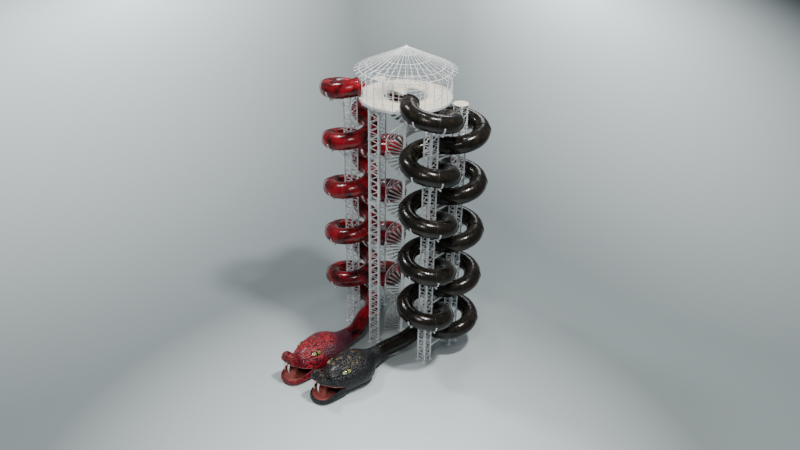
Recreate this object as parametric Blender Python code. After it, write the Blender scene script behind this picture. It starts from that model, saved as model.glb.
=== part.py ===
# Water slide tower: a round deck with an open roof on two lattice columns, a spiral
# stair, and two tube slides that wind in figures of eight round lattice towers and
# end in open-mouthed snake heads on the ground.
# Metres, +Z up. The origin is on the ground at the foot of the stair pole, the
# heads point along -Y, and the black slide is on the +X side.
import math

import bpy
import bmesh
from mathutils import Matrix, Vector

# Driving dimensions
DECK_TOP = 24.5
DECK_RADIUS = 4.0
DECK_THICKNESS = 0.15
GAP = 0.0003
CUTTER_SPARE = 0.2
SIDES = {"black": 1, "red": -1}

# Slides
LEVELS = 5
PITCH = 4.74
LOOP_RADIUS = 1.88
TUBE_RADIUS = 0.76
TUBE_WALL = 0.03
SLIDE_X = 4.59
CROSSING_Y = -0.15
FIRST_CROSSING = DECK_TOP + 1.55
ENTRANCE_TURN = 0.31
STEPS_PER_LOOP = 9
SADDLE_WIDTH = 0.8
SADDLE_LENGTH = 0.14
SADDLE_BITE = 0.12
SADDLE_INSET = 0.02
SADDLE_SHIFT = 0.28
SLOPE = PITCH / (4 * math.pi * LOOP_RADIUS)

# Lattice towers under the loops, and columns under the deck
TOWER_SIDE = 0.95
BAR = 0.09
TIE_WIDTH = 0.08
WINDOW_LIP = 0.006
FRONT_TOWER_TOP = 24.15
BACK_TOWER_TOP = DECK_TOP - 0.1
CAP_RADIUS = 0.65
CAP_THICKNESS = 0.1
COLUMN_SIDE = 0.95
COLUMN_PLACE = (-0.88, -2.94)
COLUMN_TURN = 34.0
BAYS = 4
ARM_ANGLES = (-85.0, 35.0)
ARM_REACH = 2.62
ARM_WIDTH = 0.1
ARM_DEPTH = 0.14
ARM_BITE = 0.04
UPRIGHT_DROP = 0.3

# Stair
POLE_RADIUS = 0.125
POLE_TOP = DECK_TOP + 1.1
POLE_FOOT_RADIUS = 0.35
POLE_FOOT_THICKNESS = 0.03
TREADS_PER_TURN = 24
TREAD_COUNT = 124
FLIGHTS = 5
RISE = DECK_TOP / (TREAD_COUNT + 1)
TREAD_ANGLE = 360.0 / TREADS_PER_TURN
TREAD_THICKNESS = 0.04
FLIGHT_GAP_ANGLE = GAP / POLE_RADIUS
TREAD_REACH = 1.7
LANDING_ANGLE = 165.0
LANDING_TREADS = 3
RAIL_PLACE = 1.64
RAIL_HEIGHT = 1.0
RAIL_RADIUS = 0.03
RAIL_POST_SIDE = 0.04
RAIL_POST_BITE = 0.008
RAIL_POST_EVERY = 6
RAIL_POINT_EVERY = 3

# Deck, guard rails and roof
DECK_SIDES = 36
WELL_RADIUS = 1.84
WELL_SIDES = 24
FRAME_RADIUS = 2.3
FRAME_WIDTH = 0.12
FRAME_DEPTH = 0.14
CAGE_RADIUS = 3.96
CAGE_WALL = 0.05
EAVE_HEIGHT = 2.42
POST_COUNT = 28
POST_WIDTH = 0.07
KICK_BAND = 0.08
EAVE_BAND = 0.1
RAIL_BAND = (1.05, 1.13)
SLIDE_GAP_MIDDLES = (315.0, 225.0)
SLIDE_GAP_BAYS = 3
GUARD_RADIUS = 1.95
GUARD_WALL = 0.05
GUARD_POSTS = 12
GUARD_BAND = 0.06
GUARD_HEIGHT = 1.05
GUARD_GATE = 1.0
RAFTER_COUNT = 16
RAFTER_WIDTH = 0.08
APEX_HEIGHT = 4.2
ROOF_RADIUS = 4.4
ROOF_THICKNESS = 0.12
ROOF_SEAT = 0.002
ROOF_RINGS = (0.3, 1.9, 3.35)
ROOF_RING_WIDTH = 0.09
ROOF_PEAK_RADIUS = 0.02

# Heads: where the neck starts, how far the axis leans over, and the length
NECK_Y = -5.4
NECK_HEIGHT = 1.15
NECK_STRAIGHT = 0.6
NECK_X = {"black": 1.75, "red": -2.15}
TIP_X = {"black": 1.42, "red": -2.4}
HEAD_LENGTH = 7.55
JAW_LENGTH = 7.8
MOUTH_CORNER = (5.4, 1.2)
# The edge of the upper lip from the mouth's corner to the tip
LIP_POINTS = (MOUTH_CORNER, (6.3, 1.45), (7.0, 1.95), (HEAD_LENGTH, 2.3))
HEAD_WALL = 0.1
NECK_INSET = 0.05
HEAD_ROUND = 0.85
HEAD_TAPER = 0.2
# The station where the hollow of a head ends, written as the ones below
HOLLOW_END = (5.9, 1.2, 0.1, 2.45)
# Stations along a head: distance from the neck, half width, underside, top
HEAD_STATIONS = (
    (0.0, 0.78, 0.37, 1.93),
    (1.1, 1.0, 0.2, 2.1),
    (2.0, 1.7, 0.03, 2.5),
    (3.0, 1.92, 0.0, 2.8),
    (5.0, 1.6, 0.0, 2.7),
    (6.2, 1.1, 0.2, 2.4),
    (6.95, 0.9, 0.6, 3.05),
    (7.3, 0.86, 1.2, 3.15),
    (HEAD_LENGTH, 0.6, 1.6, 2.9),
)
# Stations along a lower jaw: distance from the neck, half width, lip height
JAW_STATIONS = (
    (MOUTH_CORNER[0] + GAP, 1.5, 1.1),
    (6.3, 1.35, 0.8),
    (7.2, 1.15, 0.55),
    (7.65, 0.8, 0.45),
    (JAW_LENGTH, 0.4, 0.42),
)
JAW_WALL = 0.14
JAW_FLOOR = 0.12
FANG_PLACE = 7.35
FANG_SPACING = 0.3
FANG_LENGTH = 1.0
FANG_LEAN = 0.12
FANG_RADIUS = 0.13
FANG_TIP = 0.015
EYE_PLACE = (4.85, 2.26)
EYE_SPREAD = 0.99
EYE_RADIUS = 0.3


def make_material(name, colour, roughness, metallic=0.0):
    material = bpy.data.materials.new(name)
    material.use_nodes = True
    shader = material.node_tree.nodes["Principled BSDF"]
    shader.inputs["Base Color"].default_value = (*colour, 1.0)
    shader.inputs["Roughness"].default_value = roughness
    shader.inputs["Metallic"].default_value = metallic
    return material


def mesh_object(name, mesh, collection, material=None):
    thing = bpy.data.objects.new(name, mesh)
    collection.objects.link(thing)
    if material is not None:
        mesh.materials.clear()
        mesh.materials.append(material)
    return thing


def mesh_from_curve(curve):
    # The curve's mesh with its caps welded on; the curve itself goes.
    holder = bpy.data.objects.new("curve_holder", curve)
    bpy.context.scene.collection.objects.link(holder)
    evaluated = holder.evaluated_get(bpy.context.evaluated_depsgraph_get())
    mesh = bpy.data.meshes.new_from_object(evaluated)
    bpy.data.objects.remove(holder)
    bpy.data.curves.remove(curve)
    shape = bmesh.new()
    shape.from_mesh(mesh)
    bmesh.ops.remove_doubles(shape, verts=shape.verts, dist=0.0001)
    bmesh.ops.recalc_face_normals(shape, faces=shape.faces)
    shape.to_mesh(mesh)
    shape.free()
    return mesh


def prism_mesh(outlines, bottom, top):
    # Flat outlines in XY as upright prisms; an outline inside another is a hole.
    curve = bpy.data.curves.new("outline", "CURVE")
    curve.dimensions = "2D"
    curve.fill_mode = "BOTH"
    curve.extrude = (top - bottom) / 2
    for outline in outlines:
        spline = curve.splines.new("POLY")
        spline.points.add(len(outline) - 1)
        for point, place in zip(spline.points, outline):
            point.co = (place[0], place[1], 0.0, 1.0)
        spline.use_cyclic_u = True
    mesh = mesh_from_curve(curve)
    mesh.transform(Matrix.Translation((0, 0, (top + bottom) / 2)))
    return mesh


def circle_outline(radius, count, centre=(0.0, 0.0), start=0.0):
    points = []
    for index in range(count):
        angle = math.radians(start + 360 * index / count)
        points.append((centre[0] + radius * math.cos(angle),
                       centre[1] + radius * math.sin(angle)))
    return points


def box_mesh(size, place):
    # A box by its size and the place that moves it from the origin.
    mesh = bpy.data.meshes.new("box")
    shape = bmesh.new()
    bmesh.ops.create_cube(shape, size=1.0)
    bmesh.ops.scale(shape, vec=size, verts=shape.verts)
    bmesh.ops.transform(shape, matrix=place, verts=shape.verts)
    shape.to_mesh(mesh)
    shape.free()
    return mesh


def join_meshes(name, meshes):
    joined = bpy.data.meshes.new(name)
    shape = bmesh.new()
    for mesh in meshes:
        shape.from_mesh(mesh)
        bpy.data.meshes.remove(mesh)
    shape.to_mesh(joined)
    shape.free()
    return joined


def cut(thing, mesh, name, operation="DIFFERENCE"):
    # A boolean with a cutter that is hidden in the cutters' collection.
    cutter = mesh_object(name, mesh, bpy.data.collections["cutters"])
    cutter.hide_render = True
    cutter.display_type = "WIRE"
    modifier = thing.modifiers.new(name, "BOOLEAN")
    modifier.operation = operation
    modifier.object = cutter
    return cutter


def loft_mesh(name, rings):
    # A closed loft through rings of equal count, capped at both ends.
    mesh = bpy.data.meshes.new(name)
    shape = bmesh.new()
    rows = [[shape.verts.new(point) for point in ring] for ring in rings]
    count = len(rings[0])
    for row, following in zip(rows, rows[1:]):
        for index in range(count):
            after = (index + 1) % count
            shape.faces.new((row[index], row[after], following[after], following[index]))
    shape.faces.new(rows[0])
    shape.faces.new(rows[-1])
    bmesh.ops.recalc_face_normals(shape, faces=shape.faces)
    bmesh.ops.triangulate(shape, faces=shape.faces)
    shape.to_mesh(mesh)
    shape.free()
    return mesh


# Slide path and tubes

def slide_point(turns, side=1):
    # Point on the tube's middle line after some turns, each loop being one turn.
    # Even turns go round the front tower, odd turns round the back tower.
    loop = math.floor(turns)
    part = turns - loop
    if loop % 2 == 0:
        centre_y = CROSSING_Y - LOOP_RADIUS
        angle = math.radians(90 + 360 * part)
    else:
        centre_y = CROSSING_Y + LOOP_RADIUS
        angle = math.radians(270 - 360 * part)
    return Vector((side * (SLIDE_X + LOOP_RADIUS * math.cos(angle)),
                   centre_y + LOOP_RADIUS * math.sin(angle),
                   FIRST_CROSSING - PITCH * turns / 2))


def path_points(first_turn, last_turn, side):
    first_step = math.floor(first_turn * STEPS_PER_LOOP) + 1
    last_step = math.ceil(last_turn * STEPS_PER_LOOP)
    turns = [first_turn]
    turns += [step / STEPS_PER_LOOP for step in range(first_step, last_step)]
    turns.append(last_turn)
    return [slide_point(turn, side) for turn in turns]


def head_axis(name):
    return Vector((TIP_X[name] - NECK_X[name], -HEAD_LENGTH, 0)).normalized()


def exit_points(name, side):
    # The last quarter turn, a smooth bend, and a straight stretch into the neck.
    last_turn = 2 * LEVELS
    points = path_points(last_turn, last_turn + 0.25, side)
    start = points[-1]
    neck = Vector((NECK_X[name], NECK_Y, NECK_HEIGHT))
    goal = neck - head_axis(name) * NECK_STRAIGHT
    reach = (start - goal).length
    leave = Vector((0, -reach, -reach * SLOPE))
    arrive = head_axis(name) * reach
    steps = 4
    for step in range(1, steps + 1):
        part = step / steps
        points.append(start * (1 - 3 * part ** 2 + 2 * part ** 3)
                      + leave * (part - 2 * part ** 2 + part ** 3)
                      + goal * (3 * part ** 2 - 2 * part ** 3)
                      + arrive * (part ** 3 - part ** 2))
    points.append(neck)
    return points


def tube_mesh(points, radius, closed):
    curve = bpy.data.curves.new("tube", "CURVE")
    curve.dimensions = "3D"
    curve.twist_mode = "Z_UP"
    curve.bevel_depth = radius
    curve.bevel_resolution = 2
    curve.use_fill_caps = closed
    spline = curve.splines.new("POLY")
    spline.points.add(len(points) - 1)
    for point, place in zip(spline.points, points):
        point.co = (*place, 1.0)
    mesh = mesh_from_curve(curve)
    # Fixed diagonals, so that a seat cut by the same path fits the tube exactly.
    shape = bmesh.new()
    shape.from_mesh(mesh)
    bmesh.ops.triangulate(shape, faces=shape.faces, quad_method="FIXED")
    shape.to_mesh(mesh)
    shape.free()
    return mesh


def shorten(points, amount):
    # The path with both ends drawn in along their own directions.
    first = points[0] + (points[1] - points[0]).normalized() * amount
    last = points[-1] + (points[-2] - points[-1]).normalized() * amount
    return [first] + points[1:-1] + [last]


def tube_shell(name, points):
    # Outer and inner skins on one path, joined by flat rims at both ends.
    shape = bmesh.new()
    for radius in (TUBE_RADIUS, TUBE_RADIUS - TUBE_WALL):
        skin = tube_mesh(points, radius, False)
        if radius < TUBE_RADIUS:
            skin.flip_normals()
        shape.from_mesh(skin)
        bpy.data.meshes.remove(skin)
    for end in (points[0], points[-1]):
        rim = [edge for edge in shape.edges
               if edge.is_boundary and (edge.verts[0].co - end).length < LOOP_RADIUS / 2]
        bmesh.ops.bridge_loops(shape, edges=rim)
    mesh = bpy.data.meshes.new(name)
    shape.to_mesh(mesh)
    shape.free()
    return mesh


def make_tube(name, points, collection, material):
    mesh_object(name, tube_shell(name, shorten(points, GAP)), collection, material)


def make_slides(collection, materials):
    # One length of tube for each loop, joined to the next where the loops cross.
    for name, side in SIDES.items():
        for loop in range(2 * LEVELS):
            first = max(loop, ENTRANCE_TURN)
            make_tube(f"{name}_slide_loop_{loop + 1}", path_points(first, loop + 1, side),
                      collection, materials[name])
        make_tube(f"{name}_slide_exit", exit_points(name, side), collection,
                  materials[name])


def make_saddles(collection, materials):
    # A block on the deck's edge under the start of each slide, cut to the tube's round
    # and set towards the middle of the deck, so that it stands on the plate.
    for name, side in SIDES.items():
        start = slide_point(ENTRANCE_TURN, side)
        size = (SADDLE_WIDTH, SADDLE_LENGTH, start.z - TUBE_RADIUS + SADDLE_BITE - DECK_TOP)
        place = Matrix.Translation((start.x - side * SADDLE_SHIFT,
                                    start.y - SADDLE_LENGTH / 2 - SADDLE_INSET,
                                    DECK_TOP + GAP + size[2] / 2))
        saddle = mesh_object(f"{name}_entrance_saddle", box_mesh(size, place), collection,
                             materials["steel"])
        cut(saddle, clearance_cutter(side, ENTRANCE_TURN, 1),
            f"{name}_saddle_seat")


# Lattice towers

def bay_windows(side, bottom, top, bays):
    # The two triangles that each bay leaves open on one flat side.
    half = side / 2 - BAR - WINDOW_LIP
    height = (top - bottom) / bays
    outlines = []
    for bay in range(bays):
        low = bottom + bay * height + BAR / 2
        high = bottom + (bay + 1) * height - BAR / 2
        length = math.hypot(2 * half, high - low)
        rise = BAR / 2 * length / (2 * half)
        run = BAR / 2 * length / (high - low)
        flip = 1 if bay % 2 == 0 else -1
        outlines.append([(-flip * half, high), (-flip * half, low + rise),
                         (flip * (half - run), high)])
        outlines.append([(flip * half, low), (flip * half, high - rise),
                         (-flip * (half - run), low)])
    return outlines


def square_outline(half):
    return [(-half, -half), (half, -half), (half, half), (-half, half)]


def lattice_tower(name, side, top, place, turn, collection, material):
    # A square tower of angle posts, rings and one diagonal in each bay.
    outlines = [square_outline(side / 2), square_outline(side / 2 - BAR)]
    tower = mesh_object(name, prism_mesh(outlines, 0.0, top), collection, material)
    spin = Matrix.Translation((place[0], place[1], 0)) @ Matrix.Rotation(
        math.radians(turn), 4, "Z")
    tower.data.transform(spin)
    windows = bay_windows(side, 0.0, top, BAYS)
    for way, quarter in (("y", 0), ("x", 90)):
        mesh = prism_mesh(windows, -side, side)
        mesh.transform(spin @ Matrix.Rotation(math.radians(quarter), 4, "Z")
                       @ Matrix.Rotation(math.radians(90), 4, "X"))
        cut(tower, mesh, f"{name}_windows_{way}")
    return tower


def arm_mesh(centre, angle, tube_height, side):
    # A beam from the nearest corner post, out under the tube, with an upright end.
    corner = math.radians(45 + 90 * math.floor(angle / 90))
    reach = TOWER_SIDE / 2 - BAR / 2
    start = Vector((math.copysign(reach, math.cos(corner)),
                    math.copysign(reach, math.sin(corner)), 0))
    end = Vector((math.cos(math.radians(angle)), math.sin(math.radians(angle)), 0))
    run = end * ARM_REACH - start
    top = ARM_BITE - TUBE_RADIUS
    foot = top - ARM_DEPTH
    outline = [(0, foot), (run.length + ARM_WIDTH, foot),
               (run.length + ARM_WIDTH, -UPRIGHT_DROP), (run.length, -UPRIGHT_DROP),
               (run.length, top), (0, top)]
    mesh = prism_mesh([outline], -ARM_WIDTH / 2, ARM_WIDTH / 2)
    mesh.transform(Matrix.Translation((centre[0], centre[1], tube_height))
                   @ Matrix.Translation(start)
                   @ Matrix.Rotation(math.atan2(run.y, run.x), 4, "Z")
                   @ Matrix.Rotation(math.radians(90), 4, "X"))
    if side < 0:
        mesh.transform(Matrix.Diagonal((-1, 1, 1, 1)))
        mesh.flip_normals()
    return mesh


def tie_meshes(side):
    # Pairs of beams between the towers, under the crossing that ends each level.
    offset = TOWER_SIDE / 2 - BAR / 2
    face = LOOP_RADIUS - TOWER_SIDE / 2
    start = CROSSING_Y - face - BAR / 2
    end = CROSSING_Y + face - GAP
    meshes = []
    for crossing in range(2, 2 * LEVELS + 1, 2):
        for way in (-1, 1):
            height = FIRST_CROSSING - PITCH * crossing / 2 + SLOPE * way * offset
            top = height - TUBE_RADIUS + ARM_BITE
            place = (side * (SLIDE_X + way * offset), (start + end) / 2, top - ARM_DEPTH / 2)
            meshes.append(box_mesh((TIE_WIDTH, end - start, ARM_DEPTH),
                                   Matrix.Translation(place)))
    return meshes


def loop_height(loop, angle):
    # Height of the tube's middle line at an angle round a tower, in a given loop.
    if loop % 2 == 0:
        part = ((angle - 90) % 360) / 360
    else:
        part = ((270 - angle) % 360) / 360
    return FIRST_CROSSING - PITCH * (loop + part) / 2


def clearance_cutter(side, first_turn, last_turn):
    points = path_points(first_turn, last_turn, side)
    return tube_mesh(points, TUBE_RADIUS + 2 * GAP, True)


def make_slide_towers(collection, materials):
    for name, side in SIDES.items():
        for loop_kind, tower_name in enumerate(("front", "back")):
            centre_y = CROSSING_Y + LOOP_RADIUS * (-1 if loop_kind == 0 else 1)
            top = FRONT_TOWER_TOP if loop_kind == 0 else BACK_TOWER_TOP
            node = f"{name}_{tower_name}_tower"
            tower = lattice_tower(node, TOWER_SIDE, top, (side * SLIDE_X, centre_y), 0,
                                  collection, materials["steel"])
            meshes = []
            for level in range(LEVELS):
                loop = 2 * level + loop_kind
                for angle in ARM_ANGLES:
                    bearing = angle + 180 * loop_kind
                    meshes.append(arm_mesh((SLIDE_X, centre_y), bearing,
                                           loop_height(loop, bearing), side))
            if loop_kind == 0:
                meshes += tie_meshes(side)
            cut(tower, join_meshes(f"{node}_arms", meshes), f"{node}_arms", "UNION")
            cut(tower, clearance_cutter(side, ENTRANCE_TURN, 2 * LEVELS + 0.25),
                f"{node}_tube_seat")
            if loop_kind == 1:
                cap = prism_mesh([circle_outline(CAP_RADIUS, 16)], 0, CAP_THICKNESS)
                cap.transform(Matrix.Translation((side * SLIDE_X, centre_y, top + GAP)))
                mesh_object(f"{name}_tower_cap", cap, collection, materials["deck"])


def make_deck_columns(collection, materials):
    top = DECK_TOP - DECK_THICKNESS - GAP
    for name, way in (("front", 1), ("back", -1)):
        lattice_tower(f"deck_column_{name}", COLUMN_SIDE, top,
                      (way * COLUMN_PLACE[0], way * COLUMN_PLACE[1]), COLUMN_TURN,
                      collection, materials["steel"])


# Stair

def flight_mesh(name, first, last):
    # Treads and risers as one stepped solid, listed because no tool makes its
    # stepped underside; the inner edges lie flat along the pole's flat sides.
    inner = POLE_RADIUS + GAP / math.cos(math.radians(TREAD_ANGLE / 2))
    mesh = bpy.data.meshes.new(name)
    shape = bmesh.new()
    corners = {}

    def corner(edge, reach, height):
        # One shared vertex for each edge number, reach and height.
        key = (edge, reach, round(height, 6))
        if key not in corners:
            angle = math.radians(LANDING_ANGLE + TREAD_ANGLE * (edge + 0.5))
            if edge == first:
                angle += FLIGHT_GAP_ANGLE
            corners[key] = shape.verts.new((reach * math.cos(angle),
                                            reach * math.sin(angle), height))
        return corners[key]

    def heights(index):
        top = DECK_TOP - RISE * (index + 1)
        return top, max(top - RISE - TREAD_THICKNESS, POLE_FOOT_THICKNESS + GAP)

    for index in range(first, last):
        top, low = heights(index)
        before = [height for height in heights(index - 1) if low < height < top]
        after = [height for height in heights(index + 1) if low < height < top]
        before = before if index > first else []
        after = after if index < last - 1 else []
        edges = (index, index + 1)
        for level in (top, low):
            shape.faces.new([corner(edges[0], inner, level), corner(edges[1], inner, level),
                             corner(edges[1], TREAD_REACH, level),
                             corner(edges[0], TREAD_REACH, level)])
        for reach in (inner, TREAD_REACH):
            loop = [(edges[0], top), (edges[1], top)] + [(edges[1], h) for h in after]
            loop += [(edges[1], low), (edges[0], low)] + [(edges[0], h) for h in before]
            shape.faces.new([corner(edge, reach, height) for edge, height in loop])
        shared = [(index, top, low)] if index == first else []
        if index == last - 1:
            shared.append((index + 1, top, low))
        if index < last - 1:
            next_top, next_low = heights(index + 1)
            shared.append((index + 1, top, next_top))
            if next_low < low:
                shared.append((index + 1, low, next_low))
        for edge, high, bottom in shared:
            shape.faces.new([corner(edge, inner, high), corner(edge, TREAD_REACH, high),
                             corner(edge, TREAD_REACH, bottom), corner(edge, inner, bottom)])
    bmesh.ops.recalc_face_normals(shape, faces=shape.faces)
    bmesh.ops.triangulate(shape, faces=shape.faces)
    shape.to_mesh(mesh)
    shape.free()
    return mesh


def tread_place(index):
    # Bearing and top height of a tread, counted down from the landing.
    return LANDING_ANGLE + TREAD_ANGLE * (index + 1), DECK_TOP - RISE * (index + 1)


def make_stair(collection, materials):
    pole = mesh_object("stair_pole", prism_mesh(
        [circle_outline(POLE_RADIUS, TREADS_PER_TURN, start=LANDING_ANGLE + TREAD_ANGLE / 2)],
        POLE_FOOT_THICKNESS / 2, POLE_TOP), collection, materials["steel"])
    foot = prism_mesh([circle_outline(POLE_FOOT_RADIUS, TREADS_PER_TURN)],
                      0, POLE_FOOT_THICKNESS)
    cut(pole, foot, "stair_pole_foot", "UNION")
    per_flight = math.ceil(TREAD_COUNT / FLIGHTS)
    for flight in range(FLIGHTS):
        first = flight * per_flight
        last = min(first + per_flight, TREAD_COUNT)
        node = f"stair_flight_{flight + 1}"
        mesh_object(node, flight_mesh(node, first, last), collection, materials["tread"])
        make_handrail(flight + 1, first, last, collection, materials["steel"])


def make_handrail(number, first, last, collection, material):
    points = []
    posts = []
    for index in range(first, last):
        bearing, top = tread_place(index)
        angle = math.radians(bearing)
        place = Vector((RAIL_PLACE * math.cos(angle), RAIL_PLACE * math.sin(angle), top))
        if (index - first) % RAIL_POINT_EVERY == 0 or index == last - 1:
            points.append(place + Vector((0, 0, RAIL_HEIGHT)))
        if (index - first) % RAIL_POST_EVERY == 0:
            height = RAIL_HEIGHT + RAIL_POST_BITE - GAP
            middle = place + Vector((0, 0, GAP + height / 2))
            posts.append(box_mesh((RAIL_POST_SIDE, RAIL_POST_SIDE, height),
                                  Matrix.Translation(middle)
                                  @ Matrix.Rotation(angle, 4, "Z")))
    curve = bpy.data.curves.new("rail", "CURVE")
    curve.dimensions = "3D"
    curve.twist_mode = "Z_UP"
    curve.bevel_depth = RAIL_RADIUS
    curve.bevel_resolution = 0
    curve.use_fill_caps = True
    spline = curve.splines.new("POLY")
    spline.points.add(len(points) - 1)
    for point, place in zip(spline.points, points):
        point.co = (*place, 1.0)
    name = f"stair_handrail_{number}"
    rail = mesh_object(name, mesh_from_curve(curve), collection, material)
    cut(rail, join_meshes(f"{name}_posts", posts), f"{name}_posts", "UNION")


# Deck and roof

def make_deck(collection, materials):
    bottom = DECK_TOP - DECK_THICKNESS
    # The landing fills a sector of the stairwell, up to the first tread.
    landing_end = LANDING_ANGLE + TREAD_ANGLE / 2
    landing_start = landing_end - LANDING_TREADS * TREAD_ANGLE
    well = []
    for index in range(WELL_SIDES + 1):
        angle = landing_end + (360 + landing_start - landing_end) * index / WELL_SIDES
        well.append((WELL_RADIUS * math.cos(math.radians(angle)),
                     WELL_RADIUS * math.sin(math.radians(angle))))
    inner = POLE_RADIUS + GAP / math.cos(math.radians(TREAD_ANGLE / 2))
    for index in range(LANDING_TREADS + 1):
        angle = landing_start + index * TREAD_ANGLE
        well.append((inner * math.cos(math.radians(angle)),
                     inner * math.sin(math.radians(angle))))
    plate = prism_mesh([circle_outline(DECK_RADIUS, DECK_SIDES), well], bottom, DECK_TOP)
    mesh_object("deck_plate", plate, collection, materials["deck"])
    frame = prism_mesh([circle_outline(FRAME_RADIUS, WELL_SIDES),
                        circle_outline(FRAME_RADIUS - FRAME_WIDTH, WELL_SIDES)],
                       bottom - FRAME_DEPTH - GAP, bottom - GAP)
    mesh_object("deck_ring_beam", frame, collection, materials["steel"])


def ring_windows(radius, count, spans, bottom, top):
    # Radial box cutters that leave upright bars between them in a round wall.
    meshes = []
    for index in range(count):
        angle = 360 * (index + 0.5) / count
        if any(first < angle < last for first, last in spans):
            continue
        width = 2 * radius * math.tan(math.pi / count) - POST_WIDTH
        place = (Matrix.Translation((0, 0, (top + bottom) / 2))
                 @ Matrix.Rotation(math.radians(angle), 4, "Z")
                 @ Matrix.Translation((radius, 0, 0)))
        meshes.append(box_mesh((3 * CUTTER_SPARE, width, top - bottom), place))
    return meshes


def make_cage(collection, materials):
    # Posts, rail and eave ring, open where the two slides start.
    base = DECK_TOP + GAP
    count = POST_COUNT
    cage = mesh_object("posts_and_eave_ring", prism_mesh(
        [circle_outline(CAGE_RADIUS, count), circle_outline(CAGE_RADIUS - CAGE_WALL, count)],
        base, DECK_TOP + EAVE_HEIGHT), collection, materials["steel"])
    half_gap = SLIDE_GAP_BAYS * 180 / count
    gaps = [(middle - half_gap, middle + half_gap) for middle in SLIDE_GAP_MIDDLES]
    low = ring_windows(CAGE_RADIUS, count, gaps, base + KICK_BAND, DECK_TOP + RAIL_BAND[0])
    high = ring_windows(CAGE_RADIUS, count, gaps, DECK_TOP + RAIL_BAND[1],
                        DECK_TOP + EAVE_HEIGHT - EAVE_BAND)
    cut(cage, join_meshes("cage_windows", low + high), "cage_windows")
    ways = []
    for first, last in gaps:
        height = EAVE_HEIGHT - EAVE_BAND + CUTTER_SPARE
        place = (Matrix.Translation((0, 0, base - CUTTER_SPARE + height / 2))
                 @ Matrix.Rotation(math.radians((first + last) / 2), 4, "Z")
                 @ Matrix.Translation((CAGE_RADIUS, 0, 0)))
        width = 2 * CAGE_RADIUS * math.sin(math.radians(half_gap))
        ways.append(box_mesh((8 * CUTTER_SPARE, width - POST_WIDTH, height), place))
    cut(cage, join_meshes("slide_ways", ways), "slide_ways")


def make_stair_guard(collection, materials):
    base = DECK_TOP + GAP
    guard = mesh_object("stair_guard", prism_mesh(
        [circle_outline(GUARD_RADIUS, GUARD_POSTS),
         circle_outline(GUARD_RADIUS - GUARD_WALL, GUARD_POSTS)],
        base, DECK_TOP + GUARD_HEIGHT), collection, materials["steel"])
    windows = ring_windows(GUARD_RADIUS, GUARD_POSTS, (), base + GUARD_BAND,
                           DECK_TOP + GUARD_HEIGHT - GUARD_BAND)
    cut(guard, join_meshes("guard_windows", windows), "guard_windows")
    place = (Matrix.Translation((0, 0, DECK_TOP + GUARD_HEIGHT / 2))
             @ Matrix.Rotation(math.radians(LANDING_ANGLE - TREAD_ANGLE), 4, "Z")
             @ Matrix.Translation((GUARD_RADIUS, 0, 0)))
    cut(guard, box_mesh((4 * CUTTER_SPARE, GUARD_GATE, GUARD_HEIGHT + 2 * CUTTER_SPARE), place),
        "guard_gate")


def roof_height(radius):
    return APEX_HEIGHT - (APEX_HEIGHT - EAVE_HEIGHT) * radius / CAGE_RADIUS


def make_roof(collection, materials):
    # A flat cone with everything cut away but the rafters, two rings and the hub.
    # Its underside rests on the eave ring at four of the posts.
    count = RAFTER_COUNT
    rings = []
    lift = ROOF_THICKNESS / 2 + ROOF_SEAT
    for radius, offset in ((ROOF_PEAK_RADIUS, 1), (ROOF_RADIUS, 1), (ROOF_RADIUS, -1),
                           (ROOF_PEAK_RADIUS, -1)):
        height = DECK_TOP + roof_height(radius) + lift + offset * ROOF_THICKNESS / 2
        rings.append([(x, y, height) for x, y in circle_outline(radius, count)])
    roof = mesh_object("roof_rafters", ring_shell("roof", rings), collection,
                       materials["steel"])
    outlines = []
    edges = list(ROOF_RINGS)
    half = RAFTER_WIDTH / 2
    for index in range(count):
        middle = 360 * (index + 0.5) / count
        spread = math.pi / count
        for inner, outer in zip(edges, edges[1:] + [ROOF_RADIUS + 2 * CUTTER_SPARE]):
            near = inner + ROOF_RING_WIDTH / 2
            far = outer - ROOF_RING_WIDTH / 2 if outer <= ROOF_RADIUS else outer
            outline = []
            for radius, way in ((near, -1), (far, -1), (far, 1), (near, 1)):
                across = radius * math.tan(spread) - half / math.cos(spread)
                across = max(across, ROOF_PEAK_RADIUS / 2)
                turn = Matrix.Rotation(math.radians(middle), 2)
                outline.append(tuple(turn @ Vector((radius, way * across))))
            outlines.append(outline)
    for name, chosen in (("even", outlines[0::2]), ("odd", outlines[1::2])):
        cut(roof, prism_mesh(chosen, DECK_TOP, DECK_TOP + APEX_HEIGHT + 1),
            f"roof_windows_{name}")


def ring_shell(name, rings):
    # A solid of revolution through rings, the last joined to the first.
    mesh = bpy.data.meshes.new(name)
    shape = bmesh.new()
    rows = [[shape.verts.new(point) for point in ring] for ring in rings]
    count = len(rings[0])
    for row, following in zip(rows, rows[1:] + rows[:1]):
        for index in range(count):
            after = (index + 1) % count
            shape.faces.new((row[index], row[after], following[after], following[index]))
    bmesh.ops.recalc_face_normals(shape, faces=shape.faces)
    shape.to_mesh(mesh)
    shape.free()
    return mesh


# Snake heads

def head_matrix(name):
    # From the head's own frame, x across and y forwards, to the ground.
    lean = math.atan2(TIP_X[name] - NECK_X[name], HEAD_LENGTH)
    return (Matrix.Translation((NECK_X[name], NECK_Y, 0))
            @ Matrix.Rotation(math.pi + lean, 4, "Z"))


def head_ring(along, half_width, low, high, count=12, inset=0.0):
    middle = (low + high) / 2
    half_height = (high - low) / 2 - inset
    points = []
    for index in range(count):
        angle = 2 * math.pi * (index + 0.5) / count
        across = math.copysign(abs(math.cos(angle)) ** HEAD_ROUND, math.cos(angle))
        upward = math.copysign(abs(math.sin(angle)) ** HEAD_ROUND, math.sin(angle))
        across *= 1 - HEAD_TAPER * max(0, upward)
        points.append((across * (half_width - inset), along, middle + upward * half_height))
    return points


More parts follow.
